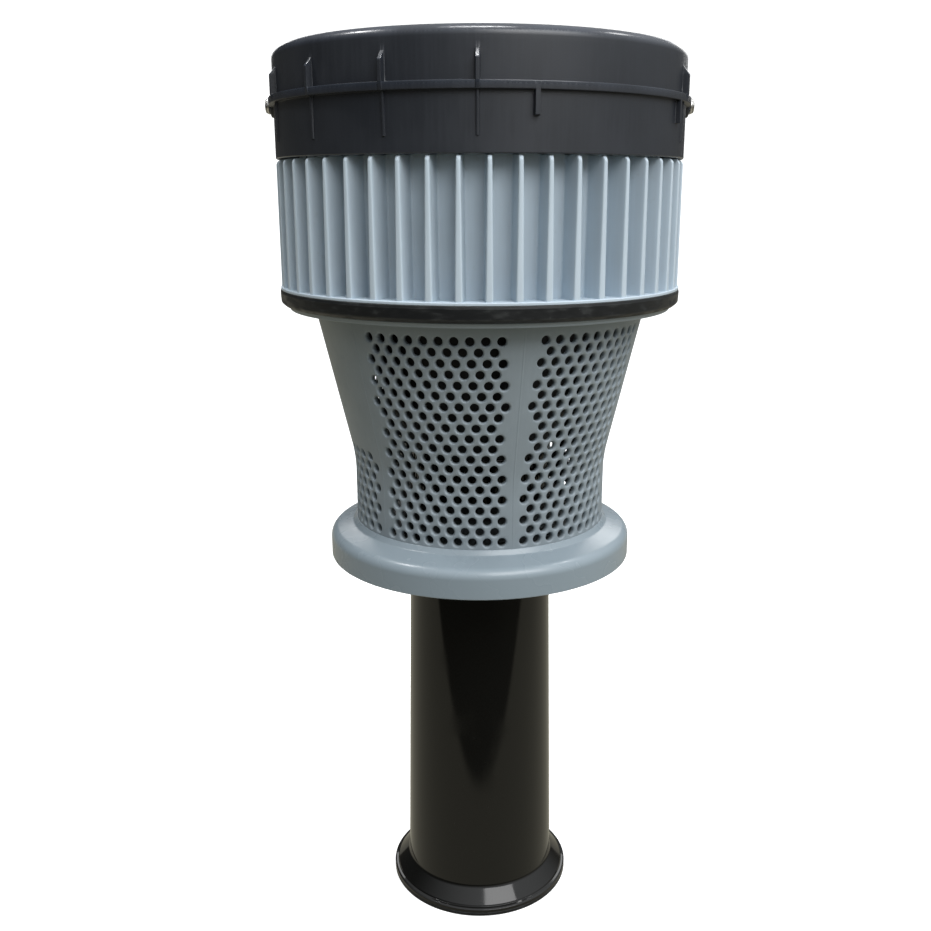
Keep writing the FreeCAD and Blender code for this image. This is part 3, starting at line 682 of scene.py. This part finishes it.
def add_sector(made, panel, layer, inside_layer):
    """One sixth of the cone: its two faces, and the walls of its holes between them."""
    middle = FIRST_PANEL + panel * SECTOR
    points, ring_start, triangles, holes = sector_layout(panel)
    outer, inner = [], []
    for index, (angle, height) in enumerate(points):
        on_seam = abs(abs(angle) - SECTOR / 2) < 1e-6
        radius = cone_radius(height)
        ridge = SEAM_HEIGHT if on_seam and FLANGE_CROWN < height < CONE_TOP else 0.0
        outer.append(made.verts.new(at(radius + ridge, middle + angle, height)))
        # Points of the inner skin are marked inside, for the material's painted shade.
        if index < ring_start:
            inner.append(made.verts.new(at(radius - CONE_WALL, middle + angle, height)))
            inner[-1][inside_layer] = 1.0
            continue
        number, step = divmod(index - ring_start, HOLE_SIDES)
        turn = 2 * math.pi * step / HOLE_SIDES
        hole_angle, up = holes[number]
        angle, height, radius = hole_point(hole_angle, up, HOLE_RADIUS, turn, CONE_WALL)
        inner.append(made.verts.new(at(radius, middle + angle, height)))
        inner[-1][inside_layer] = 1.0
    for corners in triangles:
        made.faces.new([outer[corner] for corner in corners])
        made.faces.new([inner[corner] for corner in reversed(corners)])
    for number, (hole_angle, up) in enumerate(holes):
        first = ring_start + number * HOLE_SIDES
        rows = [outer[first:first + HOLE_SIDES]]
        for wider, depth, wear in RIM_RINGS[1:]:
            row = []
            for step in range(HOLE_SIDES):
                turn = 2 * math.pi * step / HOLE_SIDES
                angle, height, radius = hole_point(hole_angle, up, HOLE_RADIUS + wider, turn, depth)
                vertex = made.verts.new(at(radius, middle + angle, height))
                vertex[layer] = wear
                row.append(vertex)
            rows.append(row)
        rows.append(inner[first:first + HOLE_SIDES])
        for here, following in zip(rows, rows[1:]):
            for step in range(HOLE_SIDES):
                beyond = (step + 1) % HOLE_SIDES
                made.faces.new((here[step], here[beyond], following[beyond], following[step]))


def make_strainer():
    """The pierced cone with its shelf, and a fine moulding seam between panels."""
    made = bmesh.new()
    made.verts.layers.float.new("wear")
    # The inside layer carries the material's painted shade onto the inner skin and the hole walls.
    inside_layer = made.verts.layers.float.new("inside")
    # The wear layer is looked up only now, because making the second one moves the first.
    layer = made.verts.layers.float.get("wear")
    angles = []
    for panel in range(PANEL_COUNT):
        add_sector(made, panel, layer, inside_layer)
        angles += [FIRST_PANEL + panel * SECTOR + angle for angle in sector_angles()]
    shelf = rounded([
        (CONE_TOP_RADIUS, CONE_TOP, 0),
        (SHELF_RADIUS - 1, CONE_TOP, 0.4),
        (SHELF_RADIUS, SHELF_TOP, 0.3),
        (CONE_TOP_RADIUS - CONE_WALL, SHELF_TOP, 0.4),
        (CONE_TOP_RADIUS - CONE_WALL, CONE_TOP, 0),
    ])
    rings = [[at(radius, angle, height) for angle in angles] for radius, height, _ in shelf]
    add_skin(made, rings, [wear for _, _, wear in shelf], closed=False)
    foot = [[at(radius, angle, FLANGE_CROWN) for angle in angles]
            for radius in (CONE_FOOT_RADIUS, CONE_FOOT_RADIUS - CONE_WALL)]
    add_skin(made, foot, [0.0, 0.0], closed=False)
    strainer = new_object("strainer_cone_visual", made, shaded_cone_plastic, "stand")
    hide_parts("strainer_cone")


# ---- the ribbed housing and its seal band ----

HOUSING_TOP = high("ribbed_housing")
LEDGE_RADIUS = reach("ribbed_housing")
LEDGE_BOTTOM = 339.3
LEDGE_TOP = 340.75
FOOT_INNER_RADIUS = 95.4
HOUSING_RADIUS = 88.5
HOUSING_BORE = 86.0
HOUSING_LIP = 85.0
LIP_DEPTH = 3.0
RIB_RADIUS = 99.7
RIB_TOP = 400.7
RIB_END = 401.2
RIB_ROUNDING = 2.5
RIB_COUNT = 48
RIB_PITCH = 360 / RIB_COUNT
RIB_PHASE = 2.4
# Half the thickness of a rib's tip, at its top and at its foot, and what its root adds.
RIB_HALF_TOP = 0.98
RIB_HALF_FOOT = 1.65
RIB_DRAFT = 0.25
RIB_TIP_ROUNDING = 0.75
RIB_ROOT_ROUNDING = 0.9
# Heights between a rib's two ends at which it gets points.
RIB_LEVELS = (355.0, 370.0, 384.0)
FOOT_FLOOR = 2.7


def rib_section(height, stands_out):
    """Half of a rib's section as (sideways, out from the wall, wear), from its tip to mid-gap."""
    up = (height - LEDGE_TOP) / (RIB_TOP - LEDGE_TOP)
    half = RIB_HALF_FOOT + (RIB_HALF_TOP - RIB_HALF_FOOT) * up
    tip = min(RIB_TIP_ROUNDING, stands_out / 2)
    root = min(RIB_ROOT_ROUNDING, stands_out / 2)
    points = [(0.0, stands_out, 0.6)]
    for step in range(4):
        turn = math.radians(30 * step)
        sideways = half - RIB_TIP_ROUNDING + RIB_TIP_ROUNDING * math.sin(turn)
        points.append((sideways, stands_out - tip + tip * math.cos(turn), 0.9 if step else 0.6))
    points.append((half + 0.1 * RIB_DRAFT, stands_out * 0.8, 0.0))
    points.append((half + 0.8 * RIB_DRAFT, stands_out * 0.3, 0.0))
    for step in range(4):
        turn = math.radians(30 * step)
        sideways = half + RIB_DRAFT + RIB_ROOT_ROUNDING * (1 - math.cos(turn))
        points.append((sideways, root * (1 - math.sin(turn)), 0.0))
    half_gap = math.radians(RIB_PITCH / 2) * HOUSING_RADIUS
    points += [(half_gap * 0.62, 0.0, 0.0), (half_gap * 0.85, 0.0, 0.0)]
    return points


def ribbed_ring(height, stands_out, flatten=None):
    """A ring of points round the housing through all ribs, or at one radius, with its wear."""
    half = rib_section(height, stands_out)
    whole = [(-sideways, out, wear) for sideways, out, wear in reversed(half[1:])] + half
    ring, wears = [], []
    for rib in range(RIB_COUNT):
        middle = RIB_PHASE + rib * RIB_PITCH
        for sideways, out, wear in whole:
            wall = math.sqrt(HOUSING_RADIUS**2 - sideways**2)
            angle = middle + math.degrees(math.atan2(sideways, wall + out))
            radius = flatten or math.hypot(sideways, wall + out)
            ring.append(at(radius, angle, height))
            wears.append(0.0 if flatten else wear)
    return ring, wears


def make_housing():
    """The straight wall with ribs all round, on its stepped foot."""
    full = RIB_RADIUS - HOUSING_RADIUS
    outside = rounded([
        (FOOT_INNER_RADIUS, SHELF_TOP + FOOT_FLOOR, 0),
        (FOOT_INNER_RADIUS, SHELF_TOP, 0.3),
        (SHELF_RADIUS, SHELF_TOP, 0.3),
        (SHELF_RADIUS, LEDGE_BOTTOM, 0),
        (LEDGE_RADIUS, LEDGE_BOTTOM, 0.3),
        (LEDGE_RADIUS, LEDGE_TOP, 0.4),
        (RIB_RADIUS, LEDGE_TOP, 0),
    ], 3)[:-1]
    rings, wears = [], []

    def add_plain_rings(outline):
        for radius, height, wear in outline:
            rings.append(ribbed_ring(height, full, flatten=radius)[0])
            wears.append(wear)

    add_plain_rings(outside)
    ribs = [(height, full) for height in (LEDGE_TOP, LEDGE_TOP + 1.5, *RIB_LEVELS)]
    for step in range(7):
        turn = math.radians(15 * step)
        stands_out = full - RIB_ROUNDING * (1 - math.cos(turn))
        ribs.append((RIB_TOP - RIB_ROUNDING * (1 - math.sin(turn)), stands_out))
    ribs += [(RIB_TOP + 0.3, 1.4), (RIB_END, 0.0)]
    for height, stands_out in ribs:
        ring, wear = ribbed_ring(height, stands_out)
        rings.append(ring)
        wears.append(wear)
    inside = rounded([
        (HOUSING_RADIUS, RIB_END, 0),
        (HOUSING_RADIUS, HOUSING_TOP, 0.4),
        (HOUSING_LIP, HOUSING_TOP, 0.4),
        (HOUSING_LIP, HOUSING_TOP - LIP_DEPTH, 0.2),
        (HOUSING_BORE, HOUSING_TOP - LIP_DEPTH - 1, 0.2),
        (HOUSING_BORE, SHELF_TOP + FOOT_FLOOR, 0.3),
        (FOOT_INNER_RADIUS, SHELF_TOP + FOOT_FLOOR, 0),
    ], 3)[1:-1]
    add_plain_rings(inside)
    made = bmesh.new()
    add_skin(made, rings, wears)
    housing = new_object("ribbed_housing_visual", made, grey_plastic, "stand")
    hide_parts("ribbed_housing")


def make_seal_band():
    """The rubber band in the groove under the ledge, fuller at its upper edge."""
    bottom = low("seal_band")
    top = high("seal_band")
    outer = reach("seal_band")
    inner = SHELF_RADIUS + 0.05
    band = lathe("seal_band_visual", [
        (inner, bottom, 0.2),
        (outer - 2.0, bottom, 0.5),
        (outer - 0.25, bottom + 1.5, 1.4),
        (outer, top - 1.2, 1.0),
        (outer - 0.3, top, 0.3),
        (inner, top, 0.2),
    ], black_rubber, "stand", steps=5)
    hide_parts("seal_band")


# ---- the float collar ----

COLLAR_BOTTOM = low("collar_shell")
COLLAR_TOP = high("collar_shell")
COLLAR_RADIUS = 99.8
COLLAR_WALL = 2.5
COLLAR_ROUNDING = 4.75
MOUTH_RADIUS = 82.5
SKIRT_BOTTOM = 436.0
BAND_BOTTOM = 425.6
BAND_TOP = 429.0
BAND_HEIGHT = 2.4
FIN_HEIGHT = 3.1
FIN_FOOT = 408.0
FIN_TOE = 0.6
FIN_TOE_BOTTOM = FIN_FOOT - 0.1
FIN_SHOULDER = 437.5
FIN_TOP = 441.2
FIN_HALF = 0.9
GUSSET_HALF = 0.6
GUSSET_HEIGHT = 1.2
LUG_BOTTOM = 415.8
LUG_TOP = BAND_TOP - 0.5
LUG_HALF = 1.15
FIN_ANGLES = (-68.5, -46.1, -23.3, -0.5, 68.0)
LUG_ANGLES = (13.3, 62.5)
# A raised plate's edge is rounded over this much, and its side leans out by the draft.
EDGE_ROUNDING = 0.4
SIDE_DRAFT = 0.06
SIDE_HEIGHT = 0.3
# Distances in from a raised plate's edge at which the wall gets a row of points.
EDGE_OFFSETS = (-0.3, -0.05, 0.0, 0.12, 0.4)
CORNER_STEPS = 8
# An upper edge is worn where it stands out more than this.
WORN_RELIEF = 1.0
# Heights between the plates' edges at which the wall gets points too.
WALL_LEVELS = [404.5, 412.0, 420.5, 433.0, 444.0]


def ramp(value, places):
    """A height along a row of (place, height) points, straight between them and 0 outside."""
    if value <= places[0][0] or value >= places[-1][0]:
        return 0.0
    for (start, first), (end, second) in zip(places, places[1:]):
        if value <= end:
            return first + (second - first) * (value - start) / (end - start)


def fin_height(height):
    """How far a fin stands out: level with the band, and a plate with a slanted top above it."""
    return ramp(height, [
        (BAND_BOTTOM, BAND_HEIGHT),
        (BAND_TOP, FIN_HEIGHT),
        (FIN_SHOULDER, FIN_HEIGHT),
        (FIN_TOP, 0.0),
    ])


def gusset_height(height):
    """How far the thinner gusset below a fin stands out, from its blunt toe to the band."""
    return ramp(height, [(FIN_TOE_BOTTOM, 0.0), (FIN_FOOT, FIN_TOE), (BAND_TOP, GUSSET_HEIGHT)])


def raised(inward, full):
    """How far a raised plate stands out at a distance in from its edge."""
    if full <= 0 or inward < -SIDE_DRAFT:
        return 0.0
    if inward < 0:
        return min(SIDE_HEIGHT, full)
    if inward >= EDGE_ROUNDING:
        return full
    short = 1 - inward / EDGE_ROUNDING
    return max(0.0, full - EDGE_ROUNDING * (1 - math.sqrt(1 - short**2)))


def plate_relief(angle, middles, half_width, full):
    """The relief of the plates round the collar at an angle, in their two groups."""
    relief = 0.0
    for middle in middles:
        away = (angle - middle + 90) % 180 - 90
        inward = half_width - abs(math.radians(away)) * COLLAR_RADIUS
        relief = max(relief, raised(inward, full))
    return relief


def collar_relief(angle, height):
    """How far the collar's outside stands out from its wall at a place."""
    band = raised(min(height - BAND_BOTTOM, BAND_TOP - height), BAND_HEIGHT)
    lug = raised(min(height - LUG_BOTTOM, LUG_TOP - height), BAND_HEIGHT)
    return max(
        band,
        plate_relief(angle, FIN_ANGLES, FIN_HALF, fin_height(height)),
        plate_relief(angle, FIN_ANGLES, GUSSET_HALF, gusset_height(height)),
        plate_relief(angle, LUG_ANGLES, LUG_HALF, lug),
    )


def collar_angles():
    """Angles round the collar, evenly spaced, with more at the sides of each fin and lug."""
    special = []
    for half_turn in (0, 180):
        plates = ((FIN_ANGLES, FIN_HALF), (FIN_ANGLES, GUSSET_HALF), (LUG_ANGLES, LUG_HALF))
        for middles, half in plates:
            for middle in middles:
                for offset in EDGE_OFFSETS:
                    if half == GUSSET_HALF and offset < 0:
                        continue
                    turn = math.degrees((half - offset) / COLLAR_RADIUS)
                    special += [(middle + half_turn + turn) % 360, (middle + half_turn - turn) % 360]
    even = [360 * step / 240 for step in range(240)]
    clear = [angle for angle in even if min(abs(angle - other) for other in special) > 0.5]
    return sorted(special + clear)


def collar_heights():
    """Heights up the collar's outside, with more at the band's, lugs' and fins' edges."""
    levels = [FIN_TOE_BOTTOM, FIN_FOOT, FIN_SHOULDER - EDGE_ROUNDING, FIN_SHOULDER]
    levels += [FIN_SHOULDER + EDGE_ROUNDING, FIN_TOP - 0.5, FIN_TOP]
    for offset in EDGE_OFFSETS:
        levels += [BAND_BOTTOM + offset, BAND_TOP - offset, LUG_BOTTOM + offset]
    return sorted(levels + WALL_LEVELS)


def make_collar():
    """The collar's moulding: wall, band, fins, lugs, rounded weir rim and inner skirt."""
    outline = rounded([
        (COLLAR_RADIUS - COLLAR_WALL, COLLAR_BOTTOM, 0.5),
        (COLLAR_RADIUS, COLLAR_BOTTOM, 0.6),
        (COLLAR_RADIUS, COLLAR_TOP, COLLAR_ROUNDING - 0.05),
        (MOUTH_RADIUS, COLLAR_TOP, COLLAR_ROUNDING - 0.05),
        (MOUTH_RADIUS, SKIRT_BOTTOM, 0.6),
        (MOUTH_RADIUS + COLLAR_WALL, SKIRT_BOTTOM, 0.4),
        (MOUTH_RADIUS + COLLAR_WALL, COLLAR_TOP - COLLAR_WALL, COLLAR_ROUNDING - COLLAR_WALL),
        (COLLAR_RADIUS - COLLAR_WALL, COLLAR_TOP - COLLAR_WALL, COLLAR_ROUNDING - COLLAR_WALL),
    ], CORNER_STEPS)
    # The wall goes in after the two rounded corners of the collar's foot.
    wall_start = 2 * (CORNER_STEPS + 1)
    angles = collar_angles()
    rings = [[at(radius, angle, height) for angle in angles] for radius, height, _ in outline]
    wears = [wear for _, _, wear in outline]
    wall, wall_wears = [], []
    for height in collar_heights():
        reliefs = [collar_relief(angle, height) for angle in angles]
        outward = [COLLAR_RADIUS + relief for relief in reliefs]
        wall.append([at(radius, angle, height) for radius, angle in zip(outward, angles)])
        upper_edge = BAND_TOP - EDGE_ROUNDING <= height <= BAND_TOP or height >= FIN_SHOULDER
        wall_wears.append([1.0 if upper_edge and relief > WORN_RELIEF else 0.0 for relief in reliefs])
    rings[wall_start:wall_start] = wall
    wears[wall_start:wall_start] = wall_wears
    made = bmesh.new()
    add_skin(made, rings, wears)
    collar = new_object("collar_shell_visual", made, charcoal_plastic, "float")
    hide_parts("collar_shell")


PIVOT_HEIGHT = (low("handle_pivot_screws") + high("handle_pivot_screws")) / 2
HEAD_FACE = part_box("handle_pivot_screws")[1].x / MM
EAR_FACE = 102.5
EAR_RADIUS = 5.5
EAR_ROOT = 98.0
PIVOT_RADIUS = 2.0
PIVOT_TIP = 97.2
HEAD_RADIUS = 3.6
HEAD_HEIGHT = 0.65
HEAD_RECESS = 1.3
HANDLE_RADIUS = 103.5
HANDLE_WIRE = 0.9
HANDLE_LOOP = 3.0
HANDLE_DROOP = 18.0
BOW_STEPS = 96
LOOP_STEPS = 32


def towards_side(side):
    """Turns a piece made about Z so that it points out from the pivot at one side."""
    turn = Matrix.Rotation(math.radians(90 * side), 4, "Y")
    return Matrix.Translation((0, 0, PIVOT_HEIGHT)) @ turn


def make_pivots():
    """The round ears, and the domed screws with a recess that the handle turns on."""
    ears = bmesh.new()
    ear = rounded([
        (PIVOT_RADIUS, EAR_ROOT, 0),
        (EAR_RADIUS, EAR_ROOT, 0),
        (EAR_RADIUS, EAR_FACE, 0.7),
        (PIVOT_RADIUS, EAR_FACE, 0.2),
    ])
    screws = bmesh.new()
    seat = HEAD_FACE - HEAD_HEIGHT
    screw = rounded([
        (0, PIVOT_TIP, 0),
        (PIVOT_RADIUS, PIVOT_TIP, 0.2),
        (PIVOT_RADIUS, seat, 0),
        (HEAD_RADIUS, seat, 0.15),
        (HEAD_RADIUS - 0.4, HEAD_FACE, 0.35),
        (HEAD_RECESS, HEAD_FACE, 0.1),
        (HEAD_RECESS - 0.1, HEAD_FACE - 0.5, 0),
        (0, HEAD_FACE - 0.6, 0),
    ])
    for side in (1, -1):
        add_lathe(ears, ear, 48, towards_side(side))
        add_lathe(screws, screw, 36, towards_side(side))
    new_object("handle_ears", ears, charcoal_plastic, "float")
    pins = new_object("handle_pivot_screws_visual", screws, stainless_steel, "float")
    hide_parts("handle_pivot_screws")


def make_carry_handle():
    """A half ring of wire behind the collar, with a loop round each pivot screw."""
    made = bmesh.new()
    droop = Matrix.Rotation(math.radians(-HANDLE_DROOP), 4, "X")
    place = Matrix.Translation((0, 0, PIVOT_HEIGHT)) @ droop
    bow = []
    for step in range(BOW_STEPS + 1):
        turn = math.pi * step / BOW_STEPS
        flat = Vector((math.cos(turn), math.sin(turn), 0)) * HANDLE_RADIUS
        bow.append(place @ (flat + Vector((0, HANDLE_LOOP, 0))))
    add_wire(made, bow, HANDLE_WIRE, sides=14)
    for side in (1, -1):
        loop = []
        for step in range(LOOP_STEPS):
            turn = 2 * math.pi * step / LOOP_STEPS
            around = Vector((0, math.cos(turn), math.sin(turn))) * HANDLE_LOOP
            loop.append(place @ (around + Vector((side * HANDLE_RADIUS, 0, 0))))
        add_wire(made, loop, HANDLE_WIRE, closed=True, sides=14)
    handle = new_object("carry_handle_visual", made, stainless_steel, "handle")
    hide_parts("carry_handle")


# ---- the shelf's screws and the parts inside ----

SCREW_COUNT = 6
SCREW_CIRCLE = 91.5
SCREW_HEAD_RADIUS = 3.0
SCREW_SHANK_RADIUS = 1.5
SCREW_TOP = 338.5


def make_housing_screws():
    """Countersunk screws in the shelf's underside, with low domed heads and a recess."""
    face = CONE_TOP - 0.12
    outline = rounded([
        (0, face + 0.7, 0),
        (1.1, face + 0.7, 0),
        (1.2, face, 0.1),
        (SCREW_HEAD_RADIUS - 0.3, face + 0.06, 0.1),
        (SCREW_HEAD_RADIUS, CONE_TOP + 1.5, 0.1),
        (SCREW_SHANK_RADIUS, CONE_TOP + 1.6, 0),
        (SCREW_SHANK_RADIUS, SCREW_TOP - 0.1, 0.3),
        (0, SCREW_TOP - 0.1, 0),
    ])
    made = bmesh.new()
    for number in range(SCREW_COUNT):
        place = at(SCREW_CIRCLE, RIB_PHASE + number * 360 / SCREW_COUNT, 0)
        add_lathe(made, outline, 24, Matrix.Translation(place))
    screws = new_object("housing_screws_visual", made, stainless_steel, "stand")
    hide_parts("housing_screws")


def dress_cad_nodes():
    """Finishes for the nodes inside, whose CAD shape stays."""
    finishes = (
        (black_satin, ("outlet_funnel", "tube_retaining_ring", "weir_sleeve", "debris_basket")),
        (black_rubber, ("funnel_gasket", "tube_o_ring", "sleeve_seal")),
        (charcoal_plastic, ("collar_floor", "basket_handle")),
        (white_foam, ("float_foam",)),
    )
    for material, dressed in finishes:
        for name in dressed:
            mesh = nodes[name].data
            mesh.materials.clear()
            mesh.materials.append(material)


# ---- stage, light and camera ----

FLOOR_RADIUS = 1.6
BOWL_RADIUS = 1.4
BOWL_HEIGHT = 4.0
STAGE_GLOW = 0.6


def make_stage():
    """A pale round floor that sweeps up into a backdrop all round.

    It stays out of the skimmer's reflections and bounced light, like paper far away would.
    """
    outline = [(0.001, 0.0), (0.3, 0.0), (0.8, 0.0)]
    for step in range(13):
        turn = math.radians(90 * step / 12)
        outline.append((FLOOR_RADIUS + BOWL_RADIUS * math.sin(turn), BOWL_RADIUS * (1 - math.cos(turn))))
    outline.append((FLOOR_RADIUS + BOWL_RADIUS, BOWL_HEIGHT))
    made = bmesh.new()
    rings = [[at(radius, 360 * step / 96, height) for step in range(96)] for radius, height in outline]
    add_skin(made, rings, [0.0] * len(rings), closed=False)
    mesh = bpy.data.meshes.new("floor")
    made.to_mesh(mesh)
    made.free()
    mesh.shade_smooth()
    finish = Finish("pale_floor", (0.80, 0.80, 0.80), 0.8)
    finish.tint(finish.spread(finish.noise(300, detail=2), 0.3, 0.7, 0, 0.5), (0.78, 0.78, 0.78))
    finish.shader.inputs["Emission Color"].default_value = (1, 1, 1, 1)
    finish.shader.inputs["Emission Strength"].default_value = STAGE_GLOW
    mesh.materials.append(finish.material)
    floor = bpy.data.objects.new("floor", mesh)
    floor.visible_diffuse = False
    floor.visible_glossy = False
    floor.visible_shadow = False
    scene.collection.objects.link(floor)


# The soft light is strongest from above and a little to the front right.
LIGHT_FROM = (0.32, -0.22, 0.92)
LIGHT_BRIGHTEST = 1.5
# Below is a dim room, and a warm floor that starts lower in front than behind.
ROOM_LIGHT = 0.06
FLOOR_LIGHT = 0.42
TOWARDS_FLOOR = (0, 0.26, -1)
UPWARDS = (0, 0, 1)
# How squarely a direction faces one of these where its change starts, and where it ends.
LIGHT_FADE = (-0.05, 1.15)
FLOOR_EDGE = (0.26, 0.28)
TONE_FADE = (-0.25, 0.25)
COOL_WHITE = (0.955, 0.98, 1.0, 1)
WARM_WHITE = (1.0, 0.95, 0.76, 1)


def make_world():
    """Soft cool light from overhead, a dim room all round, and warm light up off its floor."""
    world = bpy.data.worlds.new("studio")
    world.use_nodes = True
    tree = world.node_tree
    background = tree.nodes["Background"]
    direction = tree.nodes.new("ShaderNodeTexCoord").outputs["Generated"]

    def facing(towards, start, end, first, last):
        """A strength that goes from first to last as directions turn towards one."""
        dot = tree.nodes.new("ShaderNodeVectorMath")
        dot.operation = "DOT_PRODUCT"
        dot.inputs[1].default_value = towards
        tree.links.new(direction, dot.inputs[0])
        return spread_over(tree, dot.outputs["Value"], start, end, first, last)

    total = tree.nodes.new("ShaderNodeMath")
    total.operation = "ADD"
    tree.links.new(facing(LIGHT_FROM, *LIGHT_FADE, 0.0, LIGHT_BRIGHTEST), total.inputs[0])
    tree.links.new(facing(TOWARDS_FLOOR, *FLOOR_EDGE, ROOM_LIGHT, FLOOR_LIGHT), total.inputs[1])
    tree.links.new(total.outputs["Value"], background.inputs["Strength"])
    tone = tree.nodes.new("ShaderNodeMix")
    tone.data_type = "RGBA"
    tone.inputs["A"].default_value = WARM_WHITE
    tone.inputs["B"].default_value = COOL_WHITE
    tree.links.new(facing(UPWARDS, *TONE_FADE, 0.0, 1.0), tone.inputs["Factor"])
    tree.links.new(tone.outputs["Result"], background.inputs["Color"])
    scene.world = world


def add_softbox(name, place, target, width, height, power):
    """A soft light at a place, aimed at a target, that the camera doesn't see."""
    light = bpy.data.lights.new(name, "AREA")
    light.shape = "RECTANGLE"
    light.size = width
    light.size_y = height
    light.energy = power
    lamp = bpy.data.objects.new(name, light)
    lamp.location = place
    lamp.rotation_euler = (Vector(target) - Vector(place)).to_track_quat("-Z", "Y").to_euler()
    lamp.visible_camera = False
    scene.collection.objects.link(lamp)


def make_light():
    """The soft light all round, and the lights that give the highlights."""
    make_world()
    middle = (0, 0, 0.4)
    add_softbox("key", (0.42, -0.70, 1.0), middle, 0.75, 0.55, 7.0)
    add_softbox("overhead", (0.00, -0.20, 1.35), middle, 0.30, 0.08, 4)
    add_softbox("upper_left", (-0.57, 0.02, 1.15), middle, 0.14, 0.08, 2.4)
    add_softbox("upper_right", (0.62, 0.15, 1.10), middle, 0.14, 0.10, 0.8)
    add_softbox("back", (0.05, 0.80, 0.66), (0, 0, 0.3), 1.00, 0.30, 3.0)


LENS = 39.97
LENS_SHIFT = -0.01525
VIEWPOINT = (0, -0.5370, 0.3857)
LOOKING_DOWN = 14.81


def make_camera():
    """The photograph's viewpoint: in front, above the middle, looking down a little."""
    camera = bpy.data.cameras.new("camera")
    camera.sensor_width = 36.0
    camera.lens = LENS
    camera.shift_x = LENS_SHIFT
    camera.clip_start = 0.01
    view = bpy.data.objects.new("camera", camera)
    view.location = VIEWPOINT
    view.rotation_euler = (math.radians(90 - LOOKING_DOWN), 0, 0)
    scene.collection.objects.link(view)
    scene.camera = view


make_tube()
make_flange()
make_strainer()
make_seal_band()
make_housing()
make_collar()
make_pivots()
make_carry_handle()
make_housing_screws()
dress_cad_nodes()
make_stage()
make_light()
make_camera()
scene.view_settings.view_transform = "Standard"
